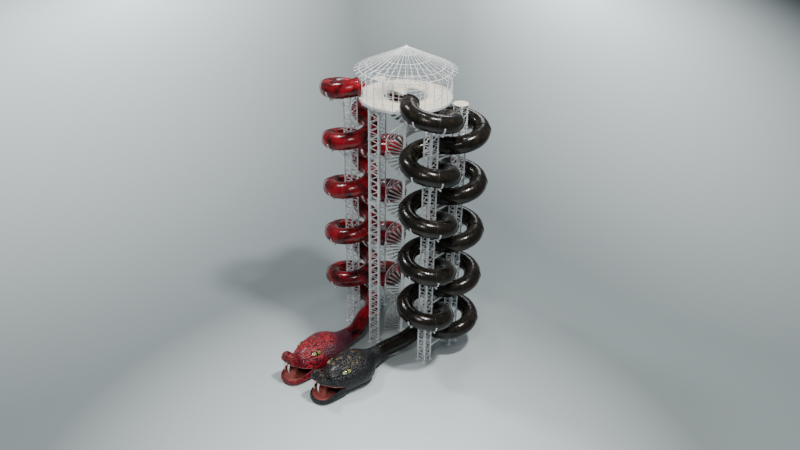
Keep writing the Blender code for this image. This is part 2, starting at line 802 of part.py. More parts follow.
def lip_line(along):
    # Height and slope of the upper lip; its last stretch runs on past the tip.
    pairs = list(zip(LIP_POINTS, LIP_POINTS[1:]))
    for (start, low), (end, high) in pairs:
        if along <= end:
            break
    slope = (high - low) / (end - start)
    return low + slope * (along - start), slope


def mouth_cutter():
    # Everything below the upper lip and ahead of the mouth's corner.
    reach = HEAD_LENGTH + CUTTER_SPARE
    outline = [(MOUTH_CORNER[0], -CUTTER_SPARE), (reach, -CUTTER_SPARE),
               (reach, lip_line(reach)[0])]
    outline += reversed(LIP_POINTS[:-1])
    mesh = prism_mesh([outline], -HEAD_LENGTH / 2, HEAD_LENGTH / 2)
    # The outline's x becomes the head's y, and its y becomes z.
    mesh.transform(Matrix(((0, 0, 1, 0), (1, 0, 0, 0), (0, 1, 0, 0), (0, 0, 0, 1))))
    return mesh


def make_head(name, collection, materials):
    place = head_matrix(name)
    outer = [head_ring(*station) for station in HEAD_STATIONS]
    skull = mesh_object(f"{name}_head", loft_mesh("head", outer), collection,
                        materials[f"{name}_skin"])
    skull.data.transform(Matrix.Translation((0, 2 * GAP, 0)))
    inner = [head_ring(-HEAD_WALL, TUBE_RADIUS - TUBE_WALL, *HEAD_STATIONS[0][2:], count=8,
                       inset=NECK_INSET)]
    for along, half_width, low, high in HEAD_STATIONS[1:5]:
        inner.append(head_ring(along, half_width, low, high, count=8, inset=HEAD_WALL))
    inner.append(head_ring(*HOLLOW_END, count=8, inset=HEAD_WALL))
    cavity = loft_mesh("cavity", inner)
    jaws = mouth_cutter()
    for mesh in (skull.data, cavity, jaws):
        mesh.transform(place)
    cut(skull, cavity, f"{name}_head_cavity")
    cut(skull, jaws, f"{name}_mouth")
    make_jaw(name, place, collection, materials)
    make_fangs(name, place, collection, materials)
    make_eyes(name, place, collection, materials)


def make_jaw(name, place, collection, materials):
    # A broad chin with its sides widest halfway up, hollowed into a trough.
    rings = []
    hollow = []
    for along, half, lip in JAW_STATIONS:
        chin, cheek = half * 0.75, half * 0.94
        rings.append([(-chin, along, 0), (chin, along, 0), (half, along, lip / 2),
                      (cheek, along, lip), (-cheek, along, lip), (-half, along, lip / 2)])
    # The trough runs out through the back and stops a wall short of the tip.
    for (along, half, lip), shift in zip(JAW_STATIONS, (-0.2, 0, 0, -0.08, -JAW_WALL)):
        inside = max(half - JAW_WALL, JAW_FLOOR)
        over = lip + CUTTER_SPARE
        hollow.append([(-inside * 0.7, along + shift, JAW_FLOOR),
                       (inside * 0.7, along + shift, JAW_FLOOR),
                       (inside * 0.95, along + shift, over),
                       (-inside * 0.95, along + shift, over)])
    jaw = mesh_object(f"{name}_lower_jaw", loft_mesh("jaw", rings), collection,
                      materials[f"{name}_skin"])
    trough = loft_mesh("trough", hollow)
    jaw.data.transform(place)
    trough.transform(place)
    cut(jaw, trough, f"{name}_jaw_trough")


def make_fangs(name, place, collection, materials):
    # The base follows the lip's slope, while the fang hangs with a slight lean.
    height, slope = lip_line(FANG_PLACE)
    slant = Matrix(((1, 0, 0, 0), (0, 1, -FANG_LEAN, 0), (0, slope, 1, 0), (0, 0, 0, 1)))
    for label, way in (("right", 1), ("left", -1)):
        mesh = bpy.data.meshes.new("fang")
        shape = bmesh.new()
        bmesh.ops.create_cone(shape, cap_ends=True, segments=10, radius1=FANG_TIP,
                              radius2=FANG_RADIUS, depth=FANG_LENGTH)
        bmesh.ops.translate(shape, verts=shape.verts,
                            vec=(0, 0, -FANG_LENGTH / 2 - GAP))
        shape.to_mesh(mesh)
        shape.free()
        mesh.transform(place @ Matrix.Translation((way * FANG_SPACING, FANG_PLACE, height))
                       @ slant)
        mesh_object(f"{name}_fang_{label}", mesh, collection, materials["fang"])


def make_eyes(name, place, collection, materials):
    along, height = EYE_PLACE
    outer = [head_ring(*station) for station in HEAD_STATIONS]
    for label, way in (("right", 1), ("left", -1)):
        mesh = bpy.data.meshes.new("eye")
        shape = bmesh.new()
        bmesh.ops.create_uvsphere(shape, u_segments=8, v_segments=5, radius=EYE_RADIUS)
        shape.to_mesh(mesh)
        shape.free()
        mesh.transform(place @ Matrix.Translation((way * EYE_SPREAD, along, height)))
        eye = mesh_object(f"{name}_eye_{label}", mesh, collection, materials["eye"])
        skull = loft_mesh("eye_seat", outer)
        skull.transform(place @ Matrix.Translation((way * 2 * GAP, 0, 2 * GAP)))
        cut(eye, skull, f"{name}_eye_seat_{label}")


def clear_scene():
    for thing in list(bpy.data.objects):
        bpy.data.objects.remove(thing)


def make_collection(name):
    collection = bpy.data.collections.new(name)
    bpy.context.scene.collection.children.link(collection)
    return collection


def main():
    clear_scene()
    collection = make_collection("water_slide_tower")
    make_collection("cutters")
    materials = {
        "black": make_material("black_tube", (0.012, 0.011, 0.010), 0.2),
        "red": make_material("red_tube", (0.32, 0.012, 0.015), 0.2),
        "black_skin": make_material("black_scales", (0.03, 0.035, 0.045), 0.4),
        "red_skin": make_material("red_scales", (0.38, 0.02, 0.03), 0.4),
        "steel": make_material("white_steel", (0.75, 0.77, 0.78), 0.45),
        "deck": make_material("deck_boards", (0.68, 0.63, 0.52), 0.6),
        "tread": make_material("stair_treads", (0.55, 0.56, 0.56), 0.5),
        "fang": make_material("fang_ivory", (0.85, 0.83, 0.78), 0.35),
        "eye": make_material("eye_yellow", (0.55, 0.55, 0.2), 0.2),
    }
    make_slides(collection, materials)
    make_saddles(collection, materials)
    make_slide_towers(collection, materials)
    make_deck_columns(collection, materials)
    make_deck(collection, materials)
    make_cage(collection, materials)
    make_stair_guard(collection, materials)
    make_roof(collection, materials)
    make_stair(collection, materials)
    for name in SIDES:
        make_head(name, collection, materials)


main()
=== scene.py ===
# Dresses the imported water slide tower: smooth tubes with flanges, laced towers, the open
# roof, the spiral stair and the two snake heads.
import math
import bmesh
import bpy
from mathutils import Matrix, Vector


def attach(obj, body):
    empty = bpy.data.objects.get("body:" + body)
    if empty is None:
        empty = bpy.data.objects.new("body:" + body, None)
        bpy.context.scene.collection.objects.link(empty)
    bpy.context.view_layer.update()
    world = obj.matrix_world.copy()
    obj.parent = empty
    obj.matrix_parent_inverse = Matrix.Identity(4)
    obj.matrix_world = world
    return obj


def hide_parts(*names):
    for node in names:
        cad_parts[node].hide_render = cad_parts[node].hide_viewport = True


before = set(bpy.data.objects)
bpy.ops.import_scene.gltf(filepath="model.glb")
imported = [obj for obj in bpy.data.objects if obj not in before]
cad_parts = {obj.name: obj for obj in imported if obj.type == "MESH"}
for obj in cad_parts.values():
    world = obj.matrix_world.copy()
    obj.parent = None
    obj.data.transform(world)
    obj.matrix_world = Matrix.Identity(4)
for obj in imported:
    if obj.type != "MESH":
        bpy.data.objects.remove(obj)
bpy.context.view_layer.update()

# Sizes shared with the solids, in metres
tower = {
    "deckTop": 24.5, "deckRadius": 4.0, "deckThickness": 0.15,
    "levels": 5, "pitch": 4.74, "loopRadius": 1.88, "tubeRadius": 0.76, "tubeWall": 0.03,
    "slideX": 4.59, "crossingY": -0.15, "firstCrossing": 26.05, "entranceTurn": 0.31,
}
slideSides = {"black": 1, "red": -1}
pieceCollection = bpy.data.collections.new("dressed_pieces")
bpy.context.scene.collection.children.link(pieceCollection)


# Materials

class Shade:
    # Shorthand for a node material on object coordinates.
    def __init__(self, name):
        self.material = bpy.data.materials.new(name)
        self.material.use_nodes = True
        self.tree = self.material.node_tree
        self.surface = self.tree.nodes["Principled BSDF"]
        self.coords = self.tree.nodes.new("ShaderNodeTexCoord").outputs["Object"]

    def put(self, socket, value):
        if isinstance(value, bpy.types.NodeSocket):
            self.tree.links.new(value, socket)
        else:
            socket.default_value = value

    def add(self, kind, settings=None, **inputs):
        node = self.tree.nodes.new(kind)
        for key, value in (settings or {}).items():
            setattr(node, key, value)
        for key, value in inputs.items():
            self.put(node.inputs[key.replace("_", " ")], value)
        return node

    def axis(self, name, vector=None):
        return self.add("ShaderNodeSeparateXYZ", Vector=vector or self.coords).outputs[name]

    def mapped(self, scale=(1, 1, 1), turn=(0, 0, 0), place=(0, 0, 0), kind="POINT"):
        return self.add("ShaderNodeMapping", {"vector_type": kind}, Vector=self.coords,
                        Scale=scale, Rotation=turn, Location=place).outputs["Vector"]

    def noise(self, scale, detail=3.0, rough=0.5, distortion=0.0, vector=None):
        return self.add("ShaderNodeTexNoise", Vector=vector or self.coords, Scale=scale,
                        Detail=detail, Roughness=rough, Distortion=distortion).outputs["Fac"]

    def cells(self, scale, feature="F1", randomness=1.0):
        return self.add("ShaderNodeTexVoronoi", {"feature": feature}, Vector=self.coords,
                        Scale=scale, Randomness=randomness).outputs["Distance"]

    def ramp(self, fac, stops):
        node = self.add("ShaderNodeValToRGB", Fac=fac)
        marks = node.color_ramp.elements
        while len(marks) < len(stops):
            marks.new(0.5)
        for mark, (place, colour) in zip(marks, stops):
            mark.position = place
            mark.color = (*colour, 1.0)
        return node.outputs["Color"]

    def mix(self, fac, first, second, blend="MIX"):
        node = self.add("ShaderNodeMix", {"data_type": "RGBA", "blend_type": blend})
        for key, value in (("Factor", fac), (6, first), (7, second)):
            self.put(node.inputs[key], (*value, 1.0) if isinstance(value, tuple) else value)
        return node.outputs[2]

    def ranged(self, value, low, high, first=0.0, last=1.0):
        return self.add("ShaderNodeMapRange", Value=value, From_Min=first, From_Max=last,
                        To_Min=low, To_Max=high).outputs["Result"]

    def math(self, kind, first, second):
        node = self.add("ShaderNodeMath", {"operation": kind})
        self.put(node.inputs[0], first)
        self.put(node.inputs[1], second)
        return node.outputs["Value"]

    def bump(self, height, strength, distance, invert=False):
        node = self.add("ShaderNodeBump", {"invert": invert}, Height=height, Strength=strength,
                        Distance=distance)
        self.put(self.surface.inputs["Normal"], node.outputs["Normal"])

    def finish(self, colour, roughness, **inputs):
        self.put(self.surface.inputs["Base Color"], colour)
        self.put(self.surface.inputs["Roughness"], roughness)
        for key, value in inputs.items():
            self.put(self.surface.inputs[key.replace("_", " ")], value)
        return self.material


tubeLook = {
    "black": {
        "cloud": (1.3, 4, 0.6, 0.8), "netReach": 0.08, "netAmount": 0.3,
        "net": (0.03, 0.023, 0.014), "wave": 0.25, "shine": 0.35, "flange": (0.009, 0.008, 0.007),
        "coat": [(0.34, (0.0025, 0.002, 0.0015)), (0.55, (0.008, 0.006, 0.004)),
                 (0.72, (0.024, 0.017, 0.009))],
    },
    "red": {
        "cloud": (0.62, 4, 0.55, 1.2), "netReach": 0.07, "netAmount": 0.4,
        "net": (0.03, 0.006, 0.005), "wave": 0.2, "shine": 0.4, "flange": (0.05, 0.006, 0.006),
        "coat": [(0.36, (0.018, 0.001, 0.002)), (0.45, (0.1, 0.002, 0.005)),
                 (0.54, (0.24, 0.003, 0.009)), (0.72, (0.38, 0.005, 0.017))],
    },
}


def tubeGelcoat(name):
    # A cloudy coat with a fine net of lines and a slight waviness.
    look = tubeLook[name]
    shade = Shade(name + "TubeGelcoat")
    base = shade.ramp(shade.noise(*look["cloud"]), look["coat"])
    net = shade.ranged(shade.cells(11, "DISTANCE_TO_EDGE"), 1.0, 0.0, 0.0, look["netReach"])
    colour = shade.mix(shade.math("MULTIPLY", net, look["netAmount"]), base, look["net"])
    shade.bump(shade.noise(3.2, 2), look["wave"], 0.06)
    return shade.finish(colour, shade.ranged(shade.noise(2.2, 4), 0.1, 0.3, 0.3, 0.7),
                        Specular_IOR_Level=look["shine"])


def flangeGelcoat(name):
    colour = tubeLook[name]["flange"]
    shade = Shade(name + "Flange")
    dust = shade.noise(9, 4)
    base = shade.mix(shade.ranged(dust, 0.0, 0.5), colour, tuple(c * 2.2 + 0.01 for c in colour))
    shade.bump(dust, 0.1, 0.01)
    return shade.finish(base, shade.ranged(dust, 0.25, 0.45))


skinLook = {
    # Each scales ramp runs from the dark joints to a painted highlight in the scale's middle; the
    # flank amount darkens the lower side as painted shade
    "black": {
        "scales": [(0.0, (0.002, 0.0022, 0.0025)), (0.45, (0.008, 0.0092, 0.011)),
                   (0.9, (0.036, 0.04, 0.047))],
        "blotch": (0.008, 0.009, 0.011), "blotchAmount": 0.5, "flankShade": 0.2, "flecks": 0.8,
    },
    "red": {
        "scales": [(0.0, (0.05, 0.002, 0.005)), (0.4, (0.28, 0.004, 0.014)),
                   (0.9, (0.54, 0.01, 0.032))],
        "blotch": (0.045, 0.008, 0.018), "blotchAmount": 0.7, "flankShade": 0.95, "flecks": 0.4,
    },
    "fleckColour": (0.16, 0.11, 0.05), "scaleDensity": 6.2,
    "flankHeight": (2.3, 2.75), "flankStart": (-10.1, -9.3), "crownHeight": (2.3, 2.7),
}


def scaleSkin(name):
    # Rounded scales lighter in their middles, a painted highlight, and darker at their joints;
    # soft dark blotches; a dark flank behind the eye, painted shade; and a flecked crown.
    look = skinLook[name]
    shade = Shade(name + "Skin")
    # Painted highlight: the colour lightens toward each scale's middle; the joints stay darker.
    dome = shade.ranged(shade.cells(skinLook["scaleDensity"], randomness=0.85), 1.0, 0.0, 0.0,
                        0.7)
    height = shade.axis("Z")
    # Painted shade: the flank is darkened low down and behind the eye.
    low = shade.ranged(height, 1.0, 0.0, *skinLook["flankHeight"])
    behind = shade.ranged(shade.axis("Y"), 0.0, 1.0, *skinLook["flankStart"])
    flankShade = shade.math("MULTIPLY", shade.math("MULTIPLY", low, behind), look["flankShade"])
    blotch = shade.ranged(shade.noise(0.7, 3, 0.55, 0.9), 0.0, look["blotchAmount"], 0.5, 0.66)
    skin = shade.mix(shade.math("MAXIMUM", blotch, flankShade), shade.ramp(dome, look["scales"]),
                     look["blotch"])
    crown = shade.ranged(height, 0.0, 1.0, *skinLook["crownHeight"])
    fleck = shade.ranged(shade.noise(3.0, 4, 0.65, 0.6), 0.0, 1.0, 0.54, 0.62)
    flecks = shade.math("MULTIPLY", shade.math("MULTIPLY", crown, fleck), look["flecks"])
    shade.bump(dome, 0.7, 0.07)
    return shade.finish(shade.mix(flecks, skin, skinLook["fleckColour"]),
                        shade.ranged(shade.noise(1.1, 2), 0.3, 0.5), Coat_Weight=0.12,
                        Coat_Roughness=0.2, Specular_IOR_Level=0.35)


def mouthLining():
    # Salmon pink in front, darkened down the throat as painted shade.
    shade = Shade("mouthLining")
    # Painted shade: darker toward the back of the mouth.
    throat = shade.ranged(shade.axis("Y"), 0.0, 1.0, -11.7, -10.9)
    wet = shade.noise(2.4, 4, 0.6)
    pink = shade.ramp(wet, [(0.3, (0.3, 0.07, 0.06)), (0.55, (0.46, 0.13, 0.11)),
                            (0.8, (0.55, 0.2, 0.16))])
    shade.bump(wet, 0.3, 0.05)
    return shade.finish(shade.mix(throat, pink, (0.05, 0.004, 0.004)),
                        shade.ranged(wet, 0.3, 0.5), Coat_Weight=0.3, Coat_Roughness=0.15)


def fangIvory():
    shade = Shade("fangIvory")
    grain = shade.noise(9, 3, vector=shade.mapped((3, 3, 0.5)))
    colour = shade.ramp(grain, [(0.3, (0.78, 0.74, 0.64)), (0.7, (0.93, 0.91, 0.86))])
    shade.bump(grain, 0.08, 0.01)
    return shade.finish(colour, shade.ranged(grain, 0.18, 0.32), Coat_Weight=0.4)


def eyeGlass():
    # Iris and slit follow the eye's own map, u across and v up.
    shade = Shade("eyeGlass")
    along = shade.axis("X", shade.add("ShaderNodeUVMap", {"uv_map": "eyeMap"}).outputs["UV"])
    away = shade.math("ABSOLUTE", shade.math("SUBTRACT", along, 0.5), 0.5)
    iris = shade.ramp(shade.noise(26, 3), [(0.3, (0.12, 0.13, 0.02)), (0.6, (0.26, 0.28, 0.08)),
                                           (0.8, (0.4, 0.43, 0.2))])
    lit = shade.mix(shade.ranged(along, 0.0, 0.6, 0.62, 0.85), iris, (0.6, 0.64, 0.44))
    ringed = shade.mix(shade.ranged(away, 0.0, 1.0, 0.36, 0.48), lit, (0.03, 0.035, 0.015))
    slit = shade.ranged(away, 1.0, 0.0, 0.05, 0.09)
    return shade.finish(shade.mix(slit, ringed, (0.004, 0.004, 0.004)), 0.08, Coat_Weight=1.0,
                        Coat_Roughness=0.03)


def whiteSteel():
    shade = Shade("whiteSteel")
    grime = shade.noise(1.3, 5, 0.6, vector=shade.mapped((3, 3, 0.4)))
    speck = shade.noise(38, 2)
    base = shade.ramp(grime, [(0.3, (0.66, 0.68, 0.7)), (0.6, (0.82, 0.84, 0.86))])
    shade.bump(speck, 0.06, 0.004)
    return shade.finish(base, shade.ranged(speck, 0.34, 0.52), Coat_Weight=0.15)


def deckBoards():
    shade = Shade("deckBoards")
    turn = (0, 0, math.radians(41))
    boards = shade.add("ShaderNodeTexBrick", Vector=shade.mapped(turn=turn), Scale=1.0,
                       Brick_Width=3.0, Row_Height=0.3, Mortar_Size=0.008, Mortar_Smooth=0.2,
                       Bias=0.0, Color1=(0.84, 0.78, 0.67, 1), Color2=(0.78, 0.72, 0.6, 1),
                       Mortar=(0.42, 0.38, 0.31, 1))
    grain = shade.noise(2.6, 5, 0.65, vector=shade.mapped((1, 9, 1), turn))
    colour = shade.mix(shade.ranged(grain, 0.0, 0.45), boards.outputs["Color"],
                       (0.58, 0.53, 0.43), "MULTIPLY")
    height = shade.math("ADD", shade.math("MULTIPLY", grain, 0.25), boards.outputs["Fac"])
    shade.bump(height, 0.25, 0.01, True)
    return shade.finish(colour, shade.ranged(grain, 0.5, 0.72))


def treadPlate():
    # Studded plate; the treads just under the deck are painted near black, painted shade in the
    # stair well.
    shade = Shade("treadPlate")
    wear = shade.noise(3, 4, 0.6)
    base = shade.ramp(wear, [(0.3, (0.5, 0.51, 0.51)), (0.7, (0.7, 0.71, 0.7))])
    # Painted shade: treads above this height are near black.
    paintedWellShade = shade.ranged(shade.axis("Z"), 0.0, 1.0, 22.6, 22.8)
    shade.bump(shade.cells(22, randomness=0.1), 0.25, 0.008)
    return shade.finish(shade.mix(paintedWellShade, base, (0.02, 0.02, 0.02)),
                        shade.ranged(wear, 0.4, 0.6), Metallic=0.1)


def paintedGapShade():
    # Near black for the tread edge strips: painted shade between the treads.
    shade = Shade("paintedGapShade")
    grit = shade.noise(30, 3)
    colour = shade.ramp(grit, [(0.3, (0.012, 0.012, 0.012)), (0.7, (0.035, 0.034, 0.033))])
    shade.bump(grit, 0.2, 0.004)
    return shade.finish(colour, 0.7)


materials = {
    "lining": mouthLining(), "fang": fangIvory(), "eye": eyeGlass(), "steel": whiteSteel(),
    "boards": deckBoards(), "tread": treadPlate(), "stripShade": paintedGapShade(),
}
for slideName in slideSides:
    materials[slideName + "Tube"] = tubeGelcoat(slideName)
    materials[slideName + "Flange"] = flangeGelcoat(slideName)
    materials[slideName + "Skin"] = scaleSkin(slideName)
print("materials ready")


# Plain helpers

def newObject(name, mesh, material=None):
    thing = bpy.data.objects.new(name, mesh)
    pieceCollection.objects.link(thing)
    if material is not None:
        mesh.materials.clear()
        mesh.materials.append(material)
    return thing


def bakedMesh(thing, name):
    # The evaluated shape as a plain mesh; the working object goes.
    evaluated = thing.evaluated_get(bpy.context.evaluated_depsgraph_get())
    mesh = bpy.data.meshes.new_from_object(evaluated)
    mesh.name = name
    bpy.data.objects.remove(thing)
    return mesh


def settle(thing, *nodes, slot):
    # Fix a piece to the frame's root, in place of the nodes that it stands for.
    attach(thing, "root")
    if nodes:
        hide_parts(*nodes)


def piece(name, mesh, material, *nodes, slot, angle=35):
    # One mesh as a smooth piece; edges sharper than the angle stay crisp.
    thing = newObject(name, mesh, material)
    mesh.shade_smooth()
    mesh.set_sharp_from_angle(angle=math.radians(angle))
    settle(thing, *nodes, slot=slot)


def steelPiece(name, meshes, *nodes):
    piece(name, joinMeshes(name, meshes), materials["steel"], *nodes, slot="white_steel")


def up(height):
    return Vector((0, 0, height))


def heading(angle):
    return Vector((math.cos(math.radians(angle)), math.sin(math.radians(angle)), 0))


def spaced(first, last, count):
    return [first + (last - first) * i / count for i in range(count + 1)]


def arc(radius, first, last, count):
    return [(radius * math.cos(math.radians(angle)), radius * math.sin(math.radians(angle)))
            for angle in spaced(first, last, count)]


def joinMeshes(name, meshes):
    joined = bpy.data.meshes.new(name)
    shape = bmesh.new()
    for mesh in meshes:
        shape.from_mesh(mesh)
        bpy.data.meshes.remove(mesh)
    shape.to_mesh(joined)
    shape.free()
    return joined


def reworked(mesh, change=None):
    # Edit a mesh in place, then turn its faces outward.
    shape = bmesh.new()
    shape.from_mesh(mesh)
    if change:
        change(shape)
    bmesh.ops.recalc_face_normals(shape, faces=shape.faces)
    shape.to_mesh(mesh)
    shape.free()
    return mesh


def shapeToMesh(name, shape):
    mesh = bpy.data.meshes.new(name)
    bmesh.ops.recalc_face_normals(shape, faces=shape.faces)
    shape.to_mesh(mesh)
    shape.free()
    return mesh


# Geometry node trees

def newTree(name, inputs):
    # Gives the tree's inputs, a way to add nodes and the ending that every tree has.
    tree = bpy.data.node_groups.new(name, "GeometryNodeTree")
    for label, kind, value in [("Geometry", "Geometry", None), *inputs,
                               ("Material", "Material", None)]:
        socket = tree.interface.new_socket(label, in_out="INPUT",
                                           socket_type="NodeSocket" + kind)
        if value is not None:
            socket.default_value = value
    tree.interface.new_socket("Geometry", in_out="OUTPUT", socket_type="NodeSocketGeometry")
    given = tree.nodes.new("NodeGroupInput").outputs

    def add(kind, links, **settings):
        node = tree.nodes.new(kind)
        for key, value in settings.items():
            setattr(node, key, value)
        for key, values in links.items():
            for value in values if isinstance(values, list) else [values]:
                if isinstance(value, bpy.types.NodeSocket):
                    tree.links.new(value, node.inputs[key])
                else:
                    node.inputs[key].default_value = value
        return node.outputs

    def close(geometry):
        whole = add("GeometryNodeRealizeInstances", {"Geometry": geometry})
        painted = add("GeometryNodeSetMaterial", {"Geometry": whole["Geometry"],
                                                  "Material": given["Material"]})
        add("NodeGroupOutput", {0: painted["Geometry"]})
        return tree

    return given, add, close


def applyTree(thing, tree, values, name):
    modifier = thing.modifiers.new(tree.name, "NODES")
    modifier.node_group = tree
    for item in tree.interface.items_tree:
        if item.item_type == "SOCKET" and item.in_out == "INPUT" and item.name in values:
            modifier[item.identifier] = values[item.name]
    return bakedMesh(thing, name)


def makeBarTree():
    # Every loose edge becomes a round bar; the set of bars repeats at a fixed offset.
    given, add, close = newTree("barTree", [
        ("Bar radius", "Float", 0.03), ("Sides", "Int", 6), ("Repeats", "Int", 1),
        ("Offset", "Vector", None)])
    line = add("GeometryNodeMeshLine", {"Count": given["Repeats"], "Offset": given["Offset"]})
    spread = add("GeometryNodeInstanceOnPoints", {"Points": line["Mesh"],
                                                  "Instance": given["Geometry"]})
    whole = add("GeometryNodeRealizeInstances", {"Geometry": spread["Instances"]})
    curve = add("GeometryNodeMeshToCurve", {"Mesh": whole["Geometry"]})
    circle = add("GeometryNodeCurvePrimitiveCircle", {"Resolution": given["Sides"],
                                                      "Radius": given["Bar radius"]})
    bars = add("GeometryNodeCurveToMesh", {
        "Curve": curve["Curve"], "Profile Curve": circle["Curve"], "Fill Caps": True})
    return close(bars["Mesh"])


def makeTubeTree():
    # A path becomes an open tube of the given radius.
    given, add, close = newTree("tubeTree", [("Tube radius", "Float", 0.5),
                                             ("Sides", "Int", 32)])
    circle = add("GeometryNodeCurvePrimitiveCircle", {"Resolution": given["Sides"],
                                                      "Radius": given["Tube radius"]})
    tube = add("GeometryNodeCurveToMesh", {"Curve": given["Geometry"],
                                           "Profile Curve": circle["Curve"]})
    return close(tube["Mesh"])


def makeFlangeTree():
    # Bolted flange rings spread along a path, square to it.
    given, add, close = newTree("flangeTree", [
        ("Count", "Int", 10), ("Ring radius", "Float", 0.78), ("Ring width", "Float", 0.05),
        ("Ring depth", "Float", 0.07), ("Bolts", "Int", 12), ("Bolt radius", "Float", 0.02)])
    spots = add("GeometryNodeCurveToPoints", {"Curve": given["Geometry"],
                                              "Count": given["Count"]}, mode="COUNT")
    aim = add("FunctionNodeAlignRotationToVector", {"Vector": spots["Tangent"]}, axis="Z")
    circle = add("GeometryNodeCurvePrimitiveCircle", {"Resolution": 32,
                                                      "Radius": given["Ring radius"]})
    section = add("GeometryNodeCurvePrimitiveQuadrilateral", {"Width": given["Ring width"],
                                                              "Height": given["Ring depth"]})
    ring = add("GeometryNodeCurveToMesh", {"Curve": circle["Curve"],
                                           "Profile Curve": section["Curve"]})
    seats = add("GeometryNodeCurvePrimitiveCircle", {"Resolution": given["Bolts"],
                                                     "Radius": given["Ring radius"]})
    length = add("ShaderNodeMath", {0: given["Ring depth"], 1: 1.6}, operation="MULTIPLY")
    bolt = add("GeometryNodeMeshCylinder", {"Vertices": 6, "Radius": given["Bolt radius"],
                                            "Depth": length["Value"]})
    places = add("GeometryNodeCurveToPoints", {"Curve": seats["Curve"],
                                               "Count": given["Bolts"]}, mode="COUNT")
    bolts = add("GeometryNodeInstanceOnPoints", {"Points": places["Points"],
                                                 "Instance": bolt["Mesh"]})
    unit = add("GeometryNodeJoinGeometry", {"Geometry": [ring["Mesh"], bolts["Instances"]]})
    spread = add("GeometryNodeInstanceOnPoints", {
        "Points": spots["Points"], "Instance": unit["Geometry"], "Rotation": aim["Rotation"]})
    return close(spread["Instances"])


def makeHelixTree():
    # One piece repeated down a screw: each copy turns and drops by a fixed step.
    given, add, close = newTree("helixTree", [
        ("Copies", "Int", 10), ("Turn", "Float", 0.2), ("First turn", "Float", 0.0),
        ("Drop", "Float", 0.2), ("First height", "Float", 0.0)])
    index = add("GeometryNodeInputIndex", {})["Index"]
    line = add("GeometryNodeMeshLine", {"Count": given["Copies"]})
    fall = add("ShaderNodeMath", {0: index, 1: given["Drop"]}, operation="MULTIPLY")
    height = add("ShaderNodeMath", {0: given["First height"], 1: fall["Value"]},
                 operation="SUBTRACT")
    place = add("ShaderNodeCombineXYZ", {"Z": height["Value"]})
    placed = add("GeometryNodeSetPosition", {"Geometry": line["Mesh"],
                                             "Position": place["Vector"]})
    swing = add("ShaderNodeMath", {0: index, 1: given["Turn"], 2: given["First turn"]},
                operation="MULTIPLY_ADD")
    turn = add("ShaderNodeCombineXYZ", {"Z": swing["Value"]})
    spread = add("GeometryNodeInstanceOnPoints", {
        "Points": placed["Geometry"], "Instance": given["Geometry"],
        "Rotation": turn["Vector"]})
    return close(spread["Instances"])


barTree = makeBarTree()
tubeTree = makeTubeTree()
flangeTree = makeFlangeTree()
helixTree = makeHelixTree()
print("node trees ready")


def barMesh(name, bars, radius, sides, repeats=1, offset=(0, 0, 0)):
    # Bars between pairs of points, each its own closed round rod.
    mesh = bpy.data.meshes.new(name)
    points = [point for bar in bars for point in bar]
    mesh.from_pydata(points, [(2 * i, 2 * i + 1) for i in range(len(bars))], [])
    return applyTree(newObject(name + "Holder", mesh), barTree, {
        "Bar radius": radius, "Sides": sides, "Repeats": repeats, "Offset": offset,
        "Material": materials["steel"]}, name)


def pathObject(name, points, cyclic=False):
    curve = bpy.data.curves.new(name, "CURVE")
    curve.dimensions = "3D"
    spline = curve.splines.new("POLY")
    spline.points.add(len(points) - 1)
    for point, place in zip(spline.points, points):
        point.co = (*place, 1.0)
    spline.use_cyclic_u = cyclic
    return newObject(name, curve)


def tubeMesh(name, points, radius, sides, material, cyclic=False):
    return applyTree(pathObject(name + "Path", points, cyclic), tubeTree, {
        "Tube radius": radius, "Sides": sides, "Material": material}, name)


def rodMesh(name, points, radius, sides, material):
    # A tube along a path with both ends closed.
    return reworked(tubeMesh(name, points, radius, sides, material),
                    lambda shape: bmesh.ops.holes_fill(shape, sides=64, edges=[
                        edge for edge in shape.edges if edge.is_boundary]))


# Slides

slideLook = {
    "sides": 36, "stepsPerLoop": 40, "exitSteps": 16, "flangesPerLoop": 3,
    "flangeDepth": 0.06, "flangeWidth": 0.04, "bolts": 14, "boltRadius": 0.014,
}
headPlace = {
    "neckY": -5.4, "neckHeight": 1.15, "neckStraight": 0.6, "length": 7.55,
    "neckX": {"black": 1.75, "red": -2.15}, "tipX": {"black": 1.42, "red": -2.4},
}
tubeSlope = tower["pitch"] / (4 * math.pi * tower["loopRadius"])


def slidePoint(turns, side):
    # Even turns go round the front tower, odd turns round the back tower.
    loop = math.floor(turns)
    part = 360 * (turns - loop)
    way, angle = (1, 270 - part) if loop % 2 else (-1, 90 + part)
    out = heading(angle) * tower["loopRadius"]
    return Vector((side * (tower["slideX"] + out.x),
                   tower["crossingY"] + way * tower["loopRadius"] + out.y,
                   tower["firstCrossing"] - tower["pitch"] * turns / 2))


def loopPoints(first, last, side):
    steps = max(2, round((last - first) * slideLook["stepsPerLoop"]))
    return [slidePoint(turns, side) for turns in spaced(first, last, steps)]


def headAxis(name):
    return Vector((headPlace["tipX"][name] - headPlace["neckX"][name],
                   -headPlace["length"], 0)).normalized()


def exitPoints(name, side):
    # On from the last loop and in one smooth bend to the head's neck.
    end = 2 * tower["levels"]
    points = loopPoints(end, end + 0.25, side)
    start = points[-1]
    neck = Vector((headPlace["neckX"][name], headPlace["neckY"], headPlace["neckHeight"]))
    goal = neck - headAxis(name) * headPlace["neckStraight"]
    reach = (start - goal).length
    leave = Vector((0, -reach, -reach * tubeSlope))
    arrive = headAxis(name) * reach
    for t in spaced(0, 1, slideLook["exitSteps"])[1:]:
        points.append(start * (1 - 3 * t ** 2 + 2 * t ** 3) + leave * (t - 2 * t ** 2 + t ** 3)
                      + goal * (3 * t ** 2 - 2 * t ** 3) + arrive * (t ** 3 - t ** 2))
    return points + [neck]


